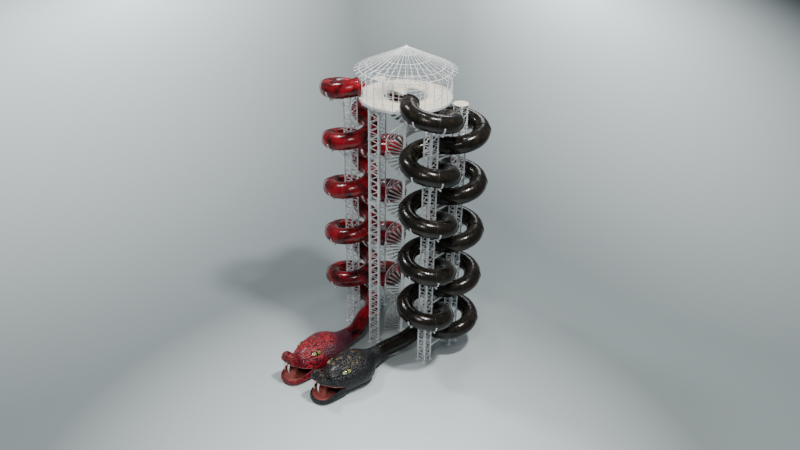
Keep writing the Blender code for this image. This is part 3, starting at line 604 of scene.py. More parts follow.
def makeTube(name, label, points, *nodes):
    coat = materials[name + "Tube"]
    mesh = tubeMesh(name + label, points, tower["tubeRadius"], slideLook["sides"], coat)
    tube = newObject(name + label, reworked(mesh), coat)
    wall = tube.modifiers.new("wall", "SOLIDIFY")
    wall.thickness = tower["tubeWall"]
    wall.offset = -1
    piece(name + label, bakedMesh(tube, name + label), coat, *nodes, slot=name + "_tube",
          angle=50)


def makeSlides():
    look = slideLook
    start, end = tower["entranceTurn"], 2 * tower["levels"]
    for name, side in slideSides.items():
        for level in range(tower["levels"]):
            points = loopPoints(max(start, 2 * level), 2 * level + 2, side)
            makeTube(name, f"TubeLevel{level + 1}", points,
                     *[f"{name}_slide_loop_{2 * level + n}" for n in (1, 2)])
        makeTube(name, "TubeExit", exitPoints(name, side), name + "_slide_exit")
        flanges = pathObject(name + "FlangePath", loopPoints(start, end, side))
        mesh = applyTree(flanges, flangeTree, {
            "Count": round((end - start) * look["flangesPerLoop"]) + 1,
            "Ring radius": tower["tubeRadius"] + look["flangeWidth"] / 2,
            "Ring width": look["flangeWidth"], "Ring depth": look["flangeDepth"],
            "Bolts": look["bolts"], "Bolt radius": look["boltRadius"],
            "Material": materials[name + "Flange"]}, name + "Flanges")
        piece(name + "Flanges", mesh, None, slot=name + "_tube", angle=40)


makeSlides()
print("slides ready")


# Lattice towers and columns

latticeLook = {
    "side": 0.95, "chordRadius": 0.07, "laceRadius": 0.03, "period": 0.76, "joint": 3.04,
    "ringRadius": 0.026, "plate": 0.26, "plateThickness": 0.014, "plateGap": 0.001,
    "plateBolt": {"place": 0.1, "radius": 0.011, "length": 0.06},
    "foot": 0.34, "footThickness": 0.03,
    "footBolt": {"place": 0.36, "lift": 0.015, "radius": 0.022, "length": 0.04},
    "frontTop": 24.15, "backTop": 24.4, "columnPlace": (-0.88, -2.94), "columnTurn": 34.0,
}
armLook = {
    "angles": (-85.0, -28.0, 35.0), "reach": 2.62, "reachUsed": 0.86, "width": 0.09,
    "depth": 0.13, "saddle": 0.045, "saddleHalf": 0.06, "saddleGap": 0.002, "saddleSteps": 18,
    "saddleArc": (-142.0, -6.0), "brace": 0.6, "braceEnd": 0.55, "braceRadius": 0.028,
}
capLook = {"radius": 0.65, "thickness": 0.1, "rim": 0.03, "roll": 0.02, "dish": 0.1,
           "dishDepth": 0.01}
postOffset = latticeLook["side"] / 2 - latticeLook["chordRadius"]


def boxBeam(shape, start, end, width, depth):
    # A square-cut beam between two points; width lies level, depth across it.
    start, end = Vector(start), Vector(end)
    along = (end - start).normalized()
    across = up(1).cross(along).normalized()
    turn = Matrix((along, across, along.cross(across))).transposed().to_4x4()
    made = bmesh.ops.create_cube(shape, size=1.0)["verts"]
    bmesh.ops.scale(shape, vec=((end - start).length, width, depth), verts=made)
    bmesh.ops.transform(shape, matrix=Matrix.Translation((start + end) / 2) @ turn, verts=made)


def disc(shape, centre, radius, thickness, sides):
    made = bmesh.ops.create_cone(shape, cap_ends=True, segments=sides, radius1=radius,
                                 radius2=radius, depth=thickness)["verts"]
    bmesh.ops.translate(shape, vec=centre, verts=made)


def bevelled(name, mesh):
    thing = newObject(name, mesh)
    edges = thing.modifiers.new("edges", "BEVEL")
    edges.width = 0.006
    edges.limit_method = "ANGLE"
    return bakedMesh(thing, name)


def corners(half):
    return [Vector((x * half, y * half, 0)) for x, y in ((-1, -1), (1, -1), (1, 1), (-1, 1))]


def latticeMeshes(name, place, turn, top, laced):
    # Opposite faces are alike: one pair is laced in a zigzag, the other has rungs.
    look = latticeLook
    spin = Matrix.Rotation(math.radians(turn), 4, "Z")
    posts = [Matrix.Translation((*place, 0)) @ spin @ corner for corner in corners(postOffset)]
    step, joint = up(look["period"] / 2), up(look["joint"])
    sides = list(zip(posts, posts[1:] + posts[:1]))
    laces = []
    for index, (first, last) in enumerate(sides):
        if index % 2:
            first, last = last, first
        if index % 2 == laced:
            laces += [(first, last + step), (last + step, first + step * 2)]
        else:
            laces += [(first + step * n, last + step * n) for n in (0.5, 1.5)]
    levels = math.floor(top / look["joint"])
    shape = bmesh.new()
    for post in posts:
        addFoot(shape, post, spin)
        for level in range(1, levels + 1):
            addJoint(shape, post + joint * level)
    return [
        barMesh(name + "Chords", [(post, post + up(top)) for post in posts],
                look["chordRadius"], 12),
        barMesh(name + "Laces", laces, look["laceRadius"], 6,
                math.floor(top / look["period"]), step * 2),
        barMesh(name + "Rings", [(first + joint, last + joint) for first, last in sides],
                look["ringRadius"], 6, levels, joint),
        shapeToMesh(name + "Plates", shape),
    ]


def addFoot(shape, post, spin):
    look, bolt = latticeLook, latticeLook["footBolt"]
    thickness = look["footThickness"]
    made = bmesh.ops.create_cube(shape, size=1.0)["verts"]
    bmesh.ops.scale(shape, vec=(look["foot"], look["foot"], thickness), verts=made)
    bmesh.ops.transform(shape, verts=made,
                        matrix=Matrix.Translation(post + up(thickness / 2)) @ spin)
    for corner in corners(look["foot"] * bolt["place"]):
        disc(shape, post + corner + up(thickness + bolt["lift"]), bolt["radius"],
             bolt["length"], 6)


def addJoint(shape, spot):
    # Two round plates face to face, bolted together.
    look, bolt = latticeLook, latticeLook["plateBolt"]
    for way in (-1, 1):
        offset = way * (look["plateThickness"] / 2 + look["plateGap"])
        disc(shape, spot + up(offset), look["plate"] / 2, look["plateThickness"], 12)
    for angle in (45, 135, 225, 315):
        disc(shape, spot + heading(angle) * bolt["place"], bolt["radius"], bolt["length"], 6)


def tubeHeight(loop, angle):
    part = ((angle - 90) % 360 if loop % 2 == 0 else (270 - angle) % 360) / 360
    return tower["firstCrossing"] - tower["pitch"] * (loop + part) / 2


def cradle(shape, saddles, centre, bearing, height, side):
    # A beam from the nearest post out under the tube, and the strap that holds the tube.
    look = armLook
    out = heading(bearing)
    ahead = Vector((-out.y, out.x, 0))
    post = heading(45 + 90 * math.floor(bearing / 90)) * postOffset * math.sqrt(2)
    base = Vector((*centre, height))
    drop = up(-tower["tubeRadius"] - look["saddle"] - look["depth"] / 2)
    tip = out * (look["reach"] + look["width"] / 2)

    def placed(point):
        x, y, z = base + point
        return Vector((side * x, y, z))

    boxBeam(shape, placed(post + drop), placed(tip * look["reachUsed"] + drop), look["width"],
            look["depth"])
    # The strap is a strip of arc under the tube, square to its path.
    rows = []
    for width in (-look["saddleHalf"], look["saddleHalf"]):
        for thickness in (look["saddleGap"], look["saddle"]):
            section = arc(tower["tubeRadius"] + thickness, *look["saddleArc"],
                          look["saddleSteps"])
            rows.append([saddles.verts.new(placed(
                out * (tower["loopRadius"] + x) + ahead * width + up(z))) for x, z in section])
    nearIn, nearOut, farIn, farOut = rows
    for inner, outer in ((nearIn, nearOut), (nearOut, farOut), (farOut, farIn),
                         (farIn, nearIn)):
        for step in range(look["saddleSteps"]):
            saddles.faces.new((inner[step], inner[step + 1], outer[step + 1], outer[step]))
    for end in (0, -1):
        saddles.faces.new((nearIn[end], nearOut[end], farOut[end], farIn[end]))
    return (placed(post + drop - up(look["brace"])),
            placed(post.lerp(tip, look["braceEnd"]) + drop))


def addTies(arms, side):
    # Beams from the front tower to the back one under each crossing of the tube.
    reach = tower["loopRadius"] - postOffset
    for crossing in range(2, 2 * tower["levels"] + 1, 2):
        for way in (-1, 1):
            height = (tower["firstCrossing"] - tower["pitch"] * crossing / 2
                      + tubeSlope * way * postOffset - tower["tubeRadius"]
                      - armLook["depth"] / 2)
            x = side * (tower["slideX"] + way * postOffset)
            boxBeam(arms, (x, tower["crossingY"] - reach, height),
                    (x, tower["crossingY"] + reach, height), armLook["width"],
                    armLook["depth"])


def makeSlideTowers():
    for name, side in slideSides.items():
        for kind, label in enumerate(("front", "back")):
            centre = (tower["slideX"],
                      tower["crossingY"] + tower["loopRadius"] * (1 if kind else -1))
            node = f"{name}_{label}_tower"
            top = latticeLook[label + "Top"]
            arms, saddles = bmesh.new(), bmesh.new()
            braces = []
            for level in range(tower["levels"]):
                for angle in armLook["angles"]:
                    bearing = angle + 180 * kind
                    braces.append(cradle(arms, saddles, centre, bearing,
                                         tubeHeight(2 * level + kind, bearing), side))
            if not kind:
                addTies(arms, side)
            meshes = latticeMeshes(node, (side * centre[0], centre[1]), 0, top, 1)
            meshes += [shapeToMesh("arms", arms), shapeToMesh("saddles", saddles),
                       barMesh("braces", braces, armLook["braceRadius"], 8)]
            steelPiece(node + "Dressed", meshes, node)
            if kind:
                makeTowerCap(name, (side * centre[0], centre[1], top))


def makeTowerCap(name, place):
    # A dished disc with a rolled edge over the tower's head.
    look = capLook
    radius, high = look["radius"], look["thickness"]
    profile = [(0.0, 0.0), (radius - look["rim"], 0.0), (radius, look["rim"]),
               (radius, high - look["roll"]), (radius - look["roll"], high),
               (radius - look["dish"], high - look["dishDepth"]), (0.0, high)]
    mesh = turnedMesh(name + "TowerCap", profile, 48)
    mesh.transform(Matrix.Translation(place))
    piece(name + "TowerCap", mesh, materials["boards"], name + "_tower_cap",
          slot="deck_boards", angle=30)


def turnedMesh(name, profile, sides):
    # A profile of (radius, height) pairs turned about Z, closed where it meets the axis.
    shape = bmesh.new()
    rows = []
    for radius, height in profile:
        spots = arc(radius, 0, 360, sides)[:-1] if radius else [(0, 0)]
        rows.append([shape.verts.new((x, y, height)) for x, y in spots])
    for first, second in zip(rows, rows[1:]):
        for i in range(sides):
            j = (i + 1) % sides
            ring = []
            for row, picks in ((first, (i, j)), (second, (j, i))):
                ring += row if len(row) == 1 else [row[pick] for pick in picks]
            if len(ring) > 2:
                shape.faces.new(ring)
    return shapeToMesh(name, shape)


def makeDeckColumns():
    x, y = latticeLook["columnPlace"]
    for name, way in (("front", 1), ("back", -1)):
        node = "deck_column_" + name
        meshes = latticeMeshes(node, (way * x, way * y), latticeLook["columnTurn"],
                               tower["deckTop"] - tower["deckThickness"], 0)
        steelPiece(node + "Dressed", meshes, node)


makeSlideTowers()
makeDeckColumns()
print("towers ready")


# Deck, cage and roof

deckLook = {
    "edgeSides": 96, "edgeInset": 0.02, "wellRadius": 1.84, "wellSides": 72,
    "poleRadius": 0.125, "poleGap": 0.01, "landingEnd": 172.5, "landingSpan": 45.0,
    "fascia": {"width": 0.045, "depth": 0.2, "lip": 0.03},
    "wellRim": {"width": 0.03, "depth": 0.08},
    "beam": {"radius": 2.3, "width": 0.12, "depth": 0.16},
    "joists": {"count": 28, "width": 0.06, "depth": 0.13, "overlap": 0.3, "inset": 0.03},
    "bearers": {"place": 0.88, "from": 1.6, "to": 3.5, "drop": 0.22, "width": 0.14,
                "depth": 0.2},
}
cageLook = {
    "radius": 3.935, "posts": 28, "postRadius": 0.028, "postSides": 10, "footRadius": 0.07,
    "footThickness": 0.016, "footSides": 16, "height": 2.42, "eaveRadius": 0.04,
    "gapBays": 3, "gapMiddles": (315.0, 225.0),
    "rails": ((1.1, 0.026), (0.14, 0.012), (0.46, 0.012), (0.78, 0.012)),
}
roofLook = {
    "rafters": 36, "width": 0.038, "depth": 0.09, "apex": 4.2, "eave": 2.42,
    "eaveReach": 3.96, "tip": 4.38, "hub": 0.18, "rings": (1.0, 2.0, 3.3), "ringRadius": 0.03,
    "ringLift": 0.01,
    "hubProfile": ((0.0, -0.2), (0.14, -0.2), (0.22, -0.14), (0.24, -0.04), (0.16, 0.06),
                   (0.05, 0.13), (0.0, 0.13)),
}


def flatPrism(name, outlines, bottom, top):
    curve = bpy.data.curves.new(name, "CURVE")
    curve.dimensions = "2D"
    curve.fill_mode = "BOTH"
    curve.extrude = (top - bottom) / 2
    for outline in outlines:
        spline = curve.splines.new("POLY")
        spline.points.add(len(outline) - 1)
        for point, place in zip(spline.points, outline):
            point.co = (place[0], place[1], 0.0, 1.0)
        spline.use_cyclic_u = True
    mesh = bakedMesh(newObject(name, curve), name)
    mesh.transform(Matrix.Translation((0, 0, (top + bottom) / 2)))
    return reworked(mesh, lambda shape: bmesh.ops.remove_doubles(
        shape, verts=shape.verts, dist=0.0001))


def ringPoints(radius, height, count=96, first=0.0, last=360.0):
    # A closed ring leaves out its repeated last point.
    points = [Vector((x, y, height)) for x, y in arc(radius, first, last, count)]
    return points[:-1] if last - first >= 360 else points


def ringPrism(name, radius, width, sides, bottom, top):
    rings = [arc(reach, 0, 360, sides)[:-1] for reach in (radius, radius - width)]
    return flatPrism(name, rings, bottom, top)


def makeDeck():
    look = deckLook
    radius, top = tower["deckRadius"], tower["deckTop"]
    bottom = top - tower["deckThickness"]
    start, end = look["landingEnd"] - look["landingSpan"], look["landingEnd"]
    well = arc(look["wellRadius"], end, 360 + start, look["wellSides"])
    well += arc(look["poleRadius"] + look["poleGap"], start, end, 6)
    outer = arc(radius - look["edgeInset"], 0, 360, look["edgeSides"])[:-1]
    plate = bevelled("deckBoardPlate", flatPrism("deckBoardPlate", [outer, well], bottom, top))
    piece("deckBoardPlate", plate, materials["boards"], "deck_plate", slot="deck_boards")
    # Channel round the edge and under the well, joists and ring beam below.
    shape = bmesh.new()
    fascia, rim, beam = look["fascia"], look["wellRim"], look["beam"]
    joist, bearer = look["joists"], look["bearers"]
    drop = up(bottom - joist["depth"] / 2)
    for index in range(joist["count"]):
        out = heading(360 * (index + 0.5) / joist["count"])
        boxBeam(shape, out * (beam["radius"] - joist["overlap"]) + drop,
                out * (radius - joist["inset"]) + drop, joist["width"], joist["depth"])
    for way in (-1, 1):
        ends = [(way * bearer["place"], way * bearer[end], bottom - bearer["drop"])
                for end in ("to", "from")]
        boxBeam(shape, *ends, bearer["width"], bearer["depth"])
    framing = bevelled("deckFraming", joinMeshes("deckFraming", [
        shapeToMesh("joists", shape),
        ringPrism("fascia", radius, fascia["width"], look["edgeSides"], top - fascia["depth"],
                  top + fascia["lip"]),
        ringPrism("wellRim", look["wellRadius"] + rim["width"], rim["width"],
                  look["wellSides"], bottom - rim["depth"], bottom),
        ringPrism("ringBeam", beam["radius"], beam["width"], look["wellSides"],
                  bottom - beam["depth"], bottom - 0.001),
    ]))
    steelPiece("deckFraming", [framing], "deck_ring_beam")


def railingMeshes(name, look, feet, spans):
    # Posts on round foot plates, and rails along spans of (first angle, last angle, steps).
    shape = bmesh.new()
    for foot in feet:
        disc(shape, foot + up(look["footThickness"] / 2), look["footRadius"],
             look["footThickness"], look["footSides"])
    bars = [(foot, foot + up(look["height"])) for foot in feet]
    meshes = [barMesh(name + "Posts", bars, look["postRadius"], look["postSides"]),
              shapeToMesh(name + "Feet", shape)]
    for first, last, steps in spans:
        for height, radius in look["rails"]:
            points = ringPoints(look["radius"], tower["deckTop"] + height, steps, first, last)
            meshes.append(rodMesh(name + "Rail", points, radius, 8, materials["steel"]))
    return meshes


def makeCage():
    look = cageLook
    half = look["gapBays"] * 180 / look["posts"]
    gaps = [(middle - half, middle + half) for middle in look["gapMiddles"]]
    feet = []
    for index in range(look["posts"]):
        angle = 360 * index / look["posts"]
        if not any(first + 0.1 < angle < last - 0.1 for first, last in gaps):
            feet.append(heading(angle) * look["radius"] + up(tower["deckTop"]))
    # The rails run between the two slide gaps.
    (highFirst, highLast), (lowFirst, lowLast) = gaps
    spans = [(first, last, round((last - first) / 4)) for first, last in
             ((lowLast, highFirst), (highLast, lowFirst + 360))]
    meshes = railingMeshes("cage", look, feet, spans)
    eave = ringPoints(look["radius"], tower["deckTop"] + look["height"] - look["eaveRadius"])
    meshes.append(tubeMesh("eaveRing", eave, look["eaveRadius"], 10, materials["steel"], True))
    steelPiece("cageDressed", meshes, "posts_and_eave_ring")


def roofHeight(radius):
    fall = (roofLook["apex"] - roofLook["eave"]) / roofLook["eaveReach"]
    return tower["deckTop"] + roofLook["apex"] - fall * radius


def makeRoof():
    look = roofLook
    steel = materials["steel"]
    shape = bmesh.new()
    ends = [Vector((reach, 0, roofHeight(reach) + look["depth"] / 2))
            for reach in (look["hub"], look["tip"])]
    boxBeam(shape, *ends, look["width"], look["depth"])
    rafter = newObject("rafterHolder", bevelled("rafter", shapeToMesh("rafter", shape)))
    meshes = [applyTree(rafter, helixTree, {
        "Copies": look["rafters"], "Turn": 2 * math.pi / look["rafters"], "First turn": 0.0,
        "Drop": 0.0, "First height": 0.0, "Material": steel}, "rafters")]
    for radius in look["rings"]:
        points = ringPoints(radius, roofHeight(radius) + look["ringLift"])
        meshes.append(tubeMesh("purlin", points, look["ringRadius"], 8, steel, True))
    peak = roofHeight(0.0)
    profile = [(radius, peak + height) for radius, height in look["hubProfile"]]
    meshes.append(turnedMesh("hub", profile, 36))
    steelPiece("roofDressed", meshes, "roof_rafters")


makeDeck()
makeCage()
makeRoof()
print("deck and roof ready")


# Stair

stairLook = {
    "count": 124, "perTurn": 24, "landing": 165.0, "reach": 1.7, "thickness": 0.035,
    "overlap": -5.0, "nosing": {"start": 0.15, "inset": 0.01, "width": 0.012, "depth": 0.05},
    "rib": {"start": 0.12, "inset": 0.06, "drops": (0.075, 0.05), "width": 0.03,
            "depth": 0.07},
    "strip": {"start": 0.3, "inset": 0.03, "width": 0.05, "depth": 0.012},
    "railPlace": 1.64, "railHeight": 1.0, "baluster": 0.011, "balusterDrop": 0.03,
    "rails": ((1.0, 0.026, 10), (0.33, 0.01, 6), (0.66, 0.01, 6)), "poleTop": 1.1,
    "poleBase": 0.35,
}
guardLook = {
    "radius": 1.93, "height": 1.05, "posts": 24, "postRadius": 0.022, "postSides": 8,
    "footRadius": 0.05, "footThickness": 0.012, "footSides": 12, "gateWidth": 30.0,
    "rails": ((1.05, 0.026), (0.1, 0.012), (0.4, 0.012), (0.72, 0.012)),
}
rise = tower["deckTop"] / (stairLook["count"] + 1)
treadTurn = 360 / stairLook["perTurn"]
treadHalf = (treadTurn + stairLook["overlap"]) / 2


def treadMesh():
    # A folded plate tread with its nosing turned down and a stiffening rib.
    look, nosing, rib = stairLook, stairLook["nosing"], stairLook["rib"]
    outline = arc(look["reach"], -treadHalf, treadHalf, 6)
    outline += arc(deckLook["poleRadius"] - 0.01, treadHalf, -treadHalf, 2)
    shape = bmesh.new()
    shape.from_mesh(flatPrism("tread", [outline], -look["thickness"], 0))
    out, drop = heading(-treadHalf), up(-nosing["depth"] / 2)
    boxBeam(shape, out * nosing["start"] + drop, out * (look["reach"] - nosing["inset"]) + drop,
            nosing["width"], nosing["depth"])
    boxBeam(shape, (rib["start"], 0, -rib["drops"][0]),
            (look["reach"] - rib["inset"], 0, -rib["drops"][1]), rib["width"], rib["depth"])
    return shapeToMesh("tread", shape)


def stripMesh():
    # Black strips along both edges of a tread, painted shade for the gaps between treads.
    strip = stairLook["strip"]
    shape = bmesh.new()
    for way in (-1, 1):
        out = heading(way * treadHalf)
        seat = up(strip["depth"] / 2) - way * Vector((-out.y, out.x, 0)) * strip["width"] / 2
        boxBeam(shape, out * strip["start"] + seat,
                out * (stairLook["reach"] - strip["inset"]) + seat, strip["width"],
                strip["depth"])
    return shapeToMesh("strip", shape)


def helixPoints(radius, height):
    # Two points a tread, from the first tread to the last.
    return [heading(stairLook["landing"] + treadTurn * turn) * radius
            + up(tower["deckTop"] - rise * turn + height)
            for turn in spaced(1, stairLook["count"], 2 * stairLook["count"] - 2)]


def makeStair():
    look = stairLook
    steel = materials["steel"]

    def everyTread(name, mesh, material):
        return applyTree(newObject(name + "Holder", mesh), helixTree, {
            "Copies": look["count"], "Turn": math.radians(treadTurn),
            "First turn": math.radians(look["landing"] + treadTurn), "Drop": rise,
            "First height": tower["deckTop"] - rise, "Material": material}, name)

    piece("stairTreads", everyTread("stairTreads", treadMesh(), materials["tread"]), None,
          *[f"stair_flight_{n}" for n in range(1, 6)], slot="stair_treads", angle=30)
    strips = everyTread("treadStrips", stripMesh(), materials["stripShade"])
    settle(newObject("treadStrips", strips), slot="stair_treads")
    ends = [Vector((look["railPlace"], 0, height))
            for height in (-look["balusterDrop"], look["railHeight"])]
    meshes = [everyTread("balusters", barMesh("baluster", [ends], look["baluster"], 6), steel)]
    for height, radius, sides in look["rails"]:
        points = helixPoints(look["railPlace"], height)
        meshes.append(rodMesh("stairRail", points, radius, sides, steel))
    steelPiece("stairRails", meshes, *[f"stair_handrail_{n}" for n in range(1, 6)])
    radius, base = deckLook["poleRadius"], look["poleBase"]
    height = tower["deckTop"] + look["poleTop"]
    profile = [(0.0, 0.0), (base, 0.0), (base, 0.03), (radius + 0.03, 0.03), (radius, 0.09),
               (radius, height - 0.05), (radius - 0.02, height - 0.01), (0.0, height)]
    steelPiece("stairPoleDressed", [turnedMesh("stairPole", profile, 32)], "stair_pole")


def makeStairGuard():
    look = guardLook
    gate = stairLook["landing"] - treadTurn
    first, last = gate + look["gateWidth"] / 2, gate + 360 - look["gateWidth"] / 2
    feet = [heading(angle) * look["radius"] + up(tower["deckTop"])
            for angle in spaced(first, last, look["posts"] - 1)]
    steelPiece("stairGuardDressed", railingMeshes("guard", look, feet, [(first, last, 72)]),
               "stair_guard")


makeStair()
makeStairGuard()
for slideName in slideSides:
    saddleNode = bpy.data.objects[slideName + "_entrance_saddle"]
    saddleNode.data.materials.clear()
    saddleNode.data.materials.append(materials["steel"])
print("stair ready")


# Snake heads, each drawn facing +Y with its neck at the origin

# Stations are: place along the head, half width, low height, high height.
headLook = {
    "stations": ((0.0, 0.78, 0.37, 1.93), (1.1, 1.0, 0.2, 2.1), (2.0, 1.7, 0.03, 2.5),
                 (3.0, 1.92, 0.0, 2.8), (5.0, 1.6, 0.0, 2.7), (6.2, 1.1, 0.2, 2.4),
                 (6.95, 0.9, 0.6, 3.05), (7.3, 0.86, 1.2, 3.15)),
    "hollow": ((-0.1, 0.73, 0.42, 1.88), (1.1, 0.9, 0.3, 2.0), (2.0, 1.56, 0.13, 2.38),
               (3.0, 1.78, 0.1, 2.66), (5.0, 1.44, 0.12, 2.5), (6.2, 0.93, 0.3, 2.1),
               (6.8, 0.7, 0.7, 2.2), (7.2, 0.45, 1.5, 2.3)),
    "round": 0.85, "taper": 0.2, "rings": 80, "around": 96, "noseEnd": 7.64,
    "noseHeight": 2.5, "capRings": 10, "hollowRings": 40, "hollowAround": 48,
    "cleft": {"width": 0.16, "start": (6.5, 7.05), "depth": 0.3, "above": (2.3, 2.8),
              "notch": 0.2, "front": (7.3, 7.6)},
}
# Hollows and swellings: place, spread, amount, each on both sides of the head
headForms = [
    ((0.98, 5.05, 2.62), (0.3, 0.75, 0.14), 0.13), ((1.12, 4.83, 2.3), (0.3, 0.55, 0.24), -0.1),
    ((1.75, 3.1, 1.1), (0.8, 0.9, 0.6), 0.09), ((0.62, 7.06, 2.72), (0.12, 0.13, 0.12), -0.17),
    ((0.75, 6.2, 2.35), (0.16, 0.7, 0.14), 0.07), ((0.5, 7.0, 2.8), (0.34, 0.36, 0.5), 0.1),
    ((1.4, 4.6, 1.5), (0.4, 1.2, 0.16), -0.05),
]
# The upper lip's height along the head, the mouth cut under it and the soft rolls on its edges
lipLook = {
    "heights": ((5.4, 1.2), (5.9, 1.3), (6.3, 1.45), (6.7, 1.72), (7.0, 1.95), (7.9, 2.52)),
    "cut": (5.4, 7.86), "cutSteps": 41, "cutEnd": 7.92, "cutDepth": -0.4, "cutHalf": 2.2,
    "sideSteps": 24, "frontSteps": 8, "around": 10,
    "span": (5.42, 7.3), "inset": 0.05, "front": 0.22, "radius": 0.05,
    "lowerStart": 5.3, "lowerWidth": 0.94, "lowerOffset": (-0.05, -0.04, -0.02),
    "lowerRadius": 0.06,
}
# Jaw stations are: place along the head, half width, height of the rim.
jawLook = {
    "stations": ((5.2, 1.5, 1.16), (5.8, 1.44, 0.97), (6.3, 1.35, 0.8), (7.0, 1.2, 0.6),
                 (7.45, 0.95, 0.5), (7.68, 0.66, 0.45), (7.79, 0.32, 0.43)),
    "around": 64, "rings": 40, "middle": 0.6, "topWidth": 0.95, "topCorners": (0.5, 0.42),
    "sideRound": 0.8, "chin": 0.75, "wall": 0.11, "floor": (0.13, 0.3),
    "floorRise": (6.4, 7.7), "frontWall": (6.6, 7.79), "troughChin": 0.6,
    "troughAbove": 0.6, "troughBack": 0.3, "troughShift": 0.02, "leastHalf": 0.05,
}
fangLook = {
    "place": (0.3, 7.35, 2.25), "tip": (0.27, 7.46, 1.18), "radius": 0.115, "point": 0.012,
    "bow": 0.1, "rings": 16, "around": 16, "gum": 0.17, "gumDrop": 0.04, "gumHeight": 0.55,
}
eyeLook = {
    "place": (1.08, 4.83, 2.34), "normal": (0.7, 0.14, 0.7), "ahead": (-0.25, 1.0, -0.07),
    "length": 0.51, "height": 0.19, "cornerHeight": 0.012, "columns": 24, "rows": 12,
    "front": (0.02, 0.12), "back": (-0.08, -0.12), "lidDrop": 0.01, "lidRadius": 0.035,
}


def eased(stations, along):
    # Smooth values between stations of a loft.
    along = min(max(along, stations[0][0]), stations[-1][0])
    i = max(n for n in range(len(stations) - 1) if stations[n][0] <= along)
    first, last = stations[i], stations[i + 1]
    span = last[0] - first[0]
    t = (along - first[0]) / span
    before = stations[i - 1] if i > 0 else first
    after = stations[i + 2] if i + 2 < len(stations) else last
    values = []
    for k in range(1, len(first)):
        leave = (last[k] - before[k]) / (last[0] - before[0]) * span
        arrive = (after[k] - first[k]) / (after[0] - first[0]) * span
        values.append((2 * t ** 3 - 3 * t * t + 1) * first[k] + (t ** 3 - 2 * t * t + t) * leave
                      + (3 * t * t - 2 * t ** 3) * last[k] + (t ** 3 - t * t) * arrive)
    return values


def ease(value, first, last):
    t = min(max((value - first) / (last - first), 0), 1)
    return t * t * (3 - 2 * t)


def slowing(first, last, count):
    # Values that crowd together toward the last one.
    return [first + (last - first) * math.sin(math.pi / 2 * i / count)
            for i in range(count + 1)]


def signedPower(value, power):
    return math.copysign(abs(value) ** power, value)


def headSection(stations, along):
    # Half width, middle height and half height.
    half, low, high = eased(stations, along)
    return half, (low + high) / 2, (high - low) / 2


def headRing(stations, along, count, shrink=1.0, shift=0.0):
    half, middle, reach = headSection(stations, along)
    ring = []
    for index in range(count):
        angle = 2 * math.pi * (index + 0.5) / count
        across, upward = (signedPower(value, headLook["round"])
                          for value in (math.cos(angle), math.sin(angle)))
        across *= 1 - headLook["taper"] * max(0, upward)
        ring.append(Vector((across * half * shrink, along,
                            middle + shift * (1 - shrink) + upward * reach * shrink)))
    return ring


def sculpted(point):
    # Brows, eye sockets, cheeks, nostrils, and the cleft between the two nose lobes.
    half, middle, reach = headSection(headLook["stations"], point.y)
    out = Vector((point.x / half ** 2, 0, (point.z - middle) / reach ** 2)).normalized()
    moved = point.copy()
    for place, spread, amount in headForms:
        away = sum(((value - centre) / wide) ** 2 for value, centre, wide
                   in zip((abs(point.x), point.y, point.z), place, spread))
        moved += out * amount * math.exp(-away)
    look = headLook["cleft"]
    cleft = math.exp(-(point.x / look["width"]) ** 2) * ease(point.y, *look["start"])
    moved.z -= look["depth"] * cleft * ease(point.z, *look["above"])
    moved.y -= look["notch"] * cleft * ease(point.y, *look["front"])
    return moved


def loftMesh(name, rings, material):
    shape = bmesh.new()
    rows = [[shape.verts.new(point) for point in ring] for ring in rings]
    count = len(rings[0])
    for row, following in zip(rows, rows[1:]):
        for i in range(count):
            j = (i + 1) % count
            shape.faces.new((row[i], row[j], following[j], following[i]))
    for row in (rows[0], rows[-1]):
        centre = shape.verts.new(sum((vert.co for vert in row), Vector()) / count)
        for i in range(count):
            shape.faces.new((row[i], row[(i + 1) % count], centre))
    mesh = shapeToMesh(name, shape)
    mesh.materials.append(material)
    return mesh


def carved(name, mesh, cutters, place):
    # Cut shapes out of a solid; the cut faces keep the cutters' material.
    thing = newObject(name, mesh)
    tools = [newObject(f"{name}Cutter{index}", cutter) for index, cutter in enumerate(cutters)]
    for tool in tools:
        hole = thing.modifiers.new(tool.name, "BOOLEAN")
        hole.object = tool
        hole.solver = "EXACT"
        hole.material_mode = "TRANSFER"
    mesh = bakedMesh(thing, name)
    for tool in tools:
        bpy.data.objects.remove(tool)
    mesh.transform(place)
    return mesh


def sideways(outline, half, material):
    # An outline in (forward, height) as a prism across the head.
    mesh = flatPrism("sideways", [outline], -half, half)
    mesh.transform(Matrix(((0, 0, 1, 0), (1, 0, 0, 0), (0, 1, 0, 0), (0, 0, 0, 1))))
    mesh.materials.append(material)
    return mesh


def lipHeight(along):
    return eased(lipLook["heights"], along)[0]


def lipEdge(along):
    # Where the mouth cut leaves the skull's side, a little inside.
    half, middle, reach = headSection(headLook["stations"], along)
    upward = (lipHeight(along) - middle) / reach
    sine = min(abs(upward), 1) ** (1 / headLook["round"])
    across = (1 - sine ** 2) ** (headLook["round"] / 2) * half
    across *= 1 - headLook["taper"] * max(0, upward)
    return Vector((across - lipLook["inset"], along, lipHeight(along)))


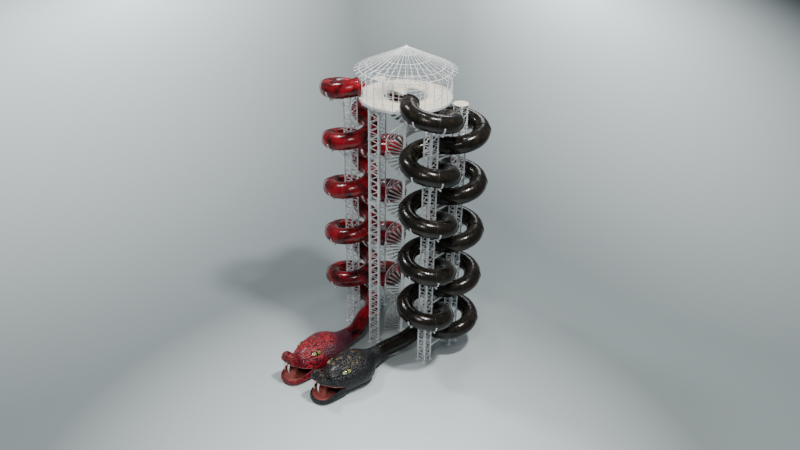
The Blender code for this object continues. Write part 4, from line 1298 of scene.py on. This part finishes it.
def makeSkull(name, place):
    look, stations = headLook, headLook["stations"]
    end = stations[-1][0]
    rings = [headRing(stations, along, look["around"])
             for along in spaced(0, end, look["rings"])]
    middle = sum(stations[-1][2:]) / 2
    for step in range(1, look["capRings"]):
        angle = math.pi / 2 * step / look["capRings"]
        ring = headRing(stations, end, look["around"], math.cos(angle),
                        look["noseHeight"] - middle)
        for point in ring:
            point.y = end + (look["noseEnd"] - end) * math.sin(angle)
        rings.append(ring)
    rings = [[sculpted(point) for point in ring] for ring in rings]
    lining = materials["lining"]
    inner = look["hollow"]
    hollow = [headRing(inner, along, look["hollowAround"])
              for along in spaced(inner[0][0], inner[-1][0], look["hollowRings"])]
    first, last = lipLook["cut"]
    outline = [(first, lipLook["cutDepth"]), (lipLook["cutEnd"], lipLook["cutDepth"])]
    outline += [(along, lipHeight(along)) for along in spaced(last, first, lipLook["cutSteps"])]
    mesh = carved(name + "HeadSculpt", loftMesh("skull", rings, materials[name + "Skin"]),
                  [loftMesh("throat", hollow, lining),
                   sideways(outline, lipLook["cutHalf"], lining)], place)
    piece(name + "HeadSculpt", mesh, None, name + "_head", slot=name + "_scales", angle=40)


def makeLips(name, place):
    # A soft pink roll along the upper lip, and a skin roll round the lower one.
    look = lipLook
    upper = [lipEdge(along) for along in spaced(*look["span"], look["sideSteps"])]
    corner = upper[-1]
    for step in range(1, look["frontSteps"]):
        angle = math.pi / 2 * step / look["frontSteps"]
        along = corner.y + look["front"] * math.sin(angle)
        upper.append(Vector((corner.x * math.cos(angle), along, lipHeight(along))))
    lower = []
    for along in slowing(look["lowerStart"], jawLook["stations"][-1][0], look["sideSteps"]):
        wide, high = eased(jawLook["stations"], along)
        lower.append(Vector((wide * look["lowerWidth"], along, high))
                     + Vector(look["lowerOffset"]))
    for label, half, radius, coat in (("Upper", upper, look["radius"], "lining"),
                                      ("Lower", lower, look["lowerRadius"], name + "Skin")):
        path = half + [Vector((-point.x, point.y, point.z)) for point in half[::-1]]
        roll = rodMesh("lip", path, radius, look["around"], materials[coat])
        roll.transform(place)
        piece(f"{name}{label}Lip", roll, materials[coat], slot=name + "_scales")


def jawRing(along, half, high, low, chin):
    # Nearly square above the middle, rounder below it.
    look = jawLook
    middle = low + (high - low) * look["middle"]
    widthPower, heightPower = look["topCorners"]
    ring = []
    for index in range(look["around"]):
        angle = 2 * math.pi * (index + 0.5) / look["around"]
        across, upward = math.cos(angle), math.sin(angle)
        if upward > 0:
            across = signedPower(across, widthPower) * half * look["topWidth"]
            upward = signedPower(upward, heightPower) * (high - middle)
        else:
            across = signedPower(across, look["sideRound"]) * half
            upward = signedPower(upward, chin) * (middle - low)
        ring.append(Vector((across, along, middle + upward)))
    return ring


def makeLowerJaw(name, place):
    look, stations = jawLook, jawLook["stations"]
    back, tip = look["floor"]
    rings, hollow = [], []
    for along in slowing(stations[0][0], stations[-1][0], look["rings"]):
        half, high = eased(stations, along)
        rings.append(jawRing(along, half, high, 0.0, look["chin"]))
        floor = back + (tip - back) * ease(along, *look["floorRise"])
        shift = look["wall"] * ease(along, *look["frontWall"]) + look["troughShift"]
        hollow.append(jawRing(along - shift, max(half - look["wall"], look["leastHalf"]),
                              high + look["troughAbove"], floor, look["troughChin"]))
    for point in hollow[0]:
        point.y -= look["troughBack"]
    mesh = carved(name + "JawSculpt", loftMesh("jaw", rings, materials[name + "Skin"]),
                  [loftMesh("trough", hollow, materials["lining"])], place)
    piece(name + "JawSculpt", mesh, None, name + "_lower_jaw", slot=name + "_scales", angle=40)


def makeFangs(name, place):
    look = fangLook
    base, tip = Vector(look["place"]), Vector(look["tip"])
    for label, way in (("right", 1), ("left", -1)):
        rings = []
        for t in spaced(0, 1, look["rings"]):
            centre = base.lerp(tip, t) + Vector((0, look["bow"] * math.sin(math.pi * t), 0))
            radius = max(look["radius"] * (1 - t ** 1.6) ** 0.8, look["point"])
            rings.append([Vector((way * centre.x + x, centre.y + y, centre.z))
                          for x, y in arc(radius, 0, 360, look["around"])[:-1]])
        mesh = loftMesh("fang", rings, materials["fang"])
        mesh.transform(place)
        piece(f"{name}Fang{label}", mesh, None, f"{name}_fang_{label}", slot="fang_ivory",
              angle=60)
        shape = bmesh.new()
        bmesh.ops.create_uvsphere(shape, u_segments=20, v_segments=12, radius=look["gum"])
        bmesh.ops.transform(shape, verts=shape.verts, matrix=place @ Matrix.Translation(
            (way * base.x, base.y, base.z - look["gumDrop"])) @ Matrix.Diagonal(
                (1, 1, look["gumHeight"], 1)))
        piece(f"{name}Gum{label}", shapeToMesh("gum", shape), materials["lining"],
              slot=name + "_scales", angle=60)


def eyeMesh():
    # A leaf-shaped lens with its own map, and the path of the lid round it.
    look = eyeLook
    centre, ahead = Vector(look["place"]), Vector(look["ahead"])
    normal = Vector(look["normal"]).normalized()
    ahead = (ahead - normal * ahead.dot(normal)).normalized()
    upward = ahead.cross(normal)
    upward = upward if upward.z > 0 else -upward
    columns, rows = look["columns"], look["rows"]
    edge = [(i, 0) for i in range(columns)] + [(columns, j) for j in range(rows)]
    edge += [(i, rows) for i in range(columns, 0, -1)] + [(0, j) for j in range(rows, 0, -1)]
    shape = bmesh.new()
    outlines = []
    for seat, bulge in (look["front"], look["back"]):
        grid = []
        for u in spaced(-1, 1, columns):
            reach = look["height"] * (1 - u * u) ** 0.8 + look["cornerHeight"]
            grid.append([shape.verts.new(
                centre + ahead * u * look["length"] + upward * v * reach
                + normal * (seat + (1 - u * u) * (1 - v * v) * bulge))
                for v in spaced(-1, 1, rows)])
        for column, following in zip(grid, grid[1:]):
            for j in range(rows):
                shape.faces.new((column[j], following[j], following[j + 1], column[j + 1]))
        outlines.append([grid[i][j] for i, j in edge])
    front, back = outlines
    for i in range(len(edge)):
        shape.faces.new((front[i - 1], front[i], back[i], back[i - 1]))
    eyeMap = shape.loops.layers.uv.new("eyeMap")
    for face in shape.faces:
        for loop in face.loops:
            away = loop.vert.co - centre
            loop[eyeMap].uv = (0.5 + away.dot(ahead) / look["length"] / 2,
                               0.5 + away.dot(upward) / look["height"] / 2)
    lid = [vert.co - normal * look["lidDrop"] for vert in front]
    return shapeToMesh("eye", shape), lid


def makeEyes(name, place):
    skin = materials[name + "Skin"]
    for label, way in (("right", 1), ("left", -1)):
        eye, path = eyeMesh()
        lid = tubeMesh("lid", path, eyeLook["lidRadius"], 8, skin, True)
        for mesh in (eye, lid):
            mesh.transform(place @ Matrix.Diagonal((way, 1, 1, 1)))
            if way < 0:
                mesh.flip_normals()
        piece(f"{name}Eye{label}", eye, materials["eye"], f"{name}_eye_{label}",
              slot="eye_yellow", angle=50)
        piece(f"{name}Lid{label}", lid, skin, slot=name + "_scales")


def makeHeads():
    for name in slideSides:
        neckX, tipX = headPlace["neckX"][name], headPlace["tipX"][name]
        lean = math.atan2(tipX - neckX, headPlace["length"])
        place = (Matrix.Translation((neckX, headPlace["neckY"], 0))
                 @ Matrix.Rotation(math.pi + lean, 4, "Z"))
        for make in (makeSkull, makeLips, makeLowerJaw, makeFangs, makeEyes):
            make(name, place)


makeHeads()
print("heads ready")


# Floor, light and camera

studioLook = {
    # floor is the darker colour outside the pools, painted shade; litFloor is the painted light
    # in the pools and their glow
    "floor": (0.2, 0.235, 0.24), "litFloor": (0.86, 0.95, 0.96), "floorHeight": -0.012,
    "paintedGlow": 1.9, "glowPower": 1.6, "glowTurn": 131.4, "aimHeight": 14,
    # Painted pools of light on the floor: x, y, half length along the view, half width
    "paintedLightPools": ((15.0, -20.0, 34.0, 28.0), (-137.0, 56.0, 160.0, 80.0),
              (-62.0, 138.0, 150.0, 56.0)),
    "fill": (0.68, 0.75, 0.78), "fillStrength": 0.27,
}
# Area lights aimed at a height over the origin: place, size, power, colour
lightLook = {
    "bigSoft": ((30, -55, 70), 14, 20000, (1.0, 0.98, 0.95)),
    "leftSoft": ((-50, -14, 80), 10, 32000, (0.98, 0.98, 1.0)),
    "backSoft": ((-20, 50, 60), 20, 10000, (0.95, 0.97, 1.0)),
    "glint": ((32, 2, 88), 8, 76000, (1.0, 0.98, 0.96)),
    "topGlint": ((0, 0, 90), 4, 10000, (1.0, 1.0, 1.0)),
}
cameraLook = {
    "lens": 36.684, "sensor": 36, "clip": 500, "place": (42.8406, -49.7397, 48.557),
    "turn": (60.8235, -0.771, 41.4304),
}


def makeStage():
    # A floor with painted light: darker outside the pools, painted shade; the near pool is
    # painted lighter, the far ones also glow though they are no lamps.
    look = studioLook
    shade = Shade("floorWithPaintedLight")
    turn = (0, 0, math.radians(look["glowTurn"]))
    near, *far = [
        shade.add("ShaderNodeTexGradient", {"gradient_type": "SPHERICAL"},
                  Vector=shade.mapped((length, width, 1), turn, (x, y, 0), "TEXTURE")
                  ).outputs["Fac"] for x, y, length, width in look["paintedLightPools"]]
    far = shade.math("ADD", *far)
    paintedGlow = shade.math("MULTIPLY", shade.math("POWER", far, look["glowPower"]), look["paintedGlow"])
    colour = shade.mix(shade.math("ADD", near, far), look["floor"], look["litFloor"])
    material = shade.finish(colour, 0.85, Emission_Strength=paintedGlow,
                            Emission_Color=(*look["litFloor"], 1.0))
    shape = bmesh.new()
    bmesh.ops.create_grid(shape, x_segments=1, y_segments=1, size=400)
    floor = newObject("floor", shapeToMesh("floor", shape), material)
    floor.data.transform(Matrix.Translation(up(look["floorHeight"])))
    world = bpy.data.worlds.new("studio")
    bpy.context.scene.world = world
    world.use_nodes = True
    back = world.node_tree.nodes["Background"]
    back.inputs["Color"].default_value = (*look["fill"], 1)
    back.inputs["Strength"].default_value = look["fillStrength"]


def makeLights():
    for name, (place, size, power, colour) in lightLook.items():
        lamp = bpy.data.lights.new(name, "AREA")
        lamp.size = size
        lamp.energy = power
        lamp.color = colour
        thing = bpy.data.objects.new(name, lamp)
        thing.location = place
        aim = up(studioLook["aimHeight"]) - Vector(place)
        thing.rotation_euler = aim.to_track_quat("-Z", "Y").to_euler()
        bpy.context.scene.collection.objects.link(thing)


def makeCamera():
    look = cameraLook
    lens = bpy.data.cameras.new("photoCamera")
    lens.lens = look["lens"]
    lens.sensor_width = look["sensor"]
    lens.clip_end = look["clip"]
    camera = bpy.data.objects.new("photoCamera", lens)
    camera.location = look["place"]
    camera.rotation_euler = [math.radians(angle) for angle in look["turn"]]
    bpy.context.scene.collection.objects.link(camera)
    bpy.context.scene.camera = camera


makeStage()
makeLights()
makeCamera()
print("floor, lights and camera ready")
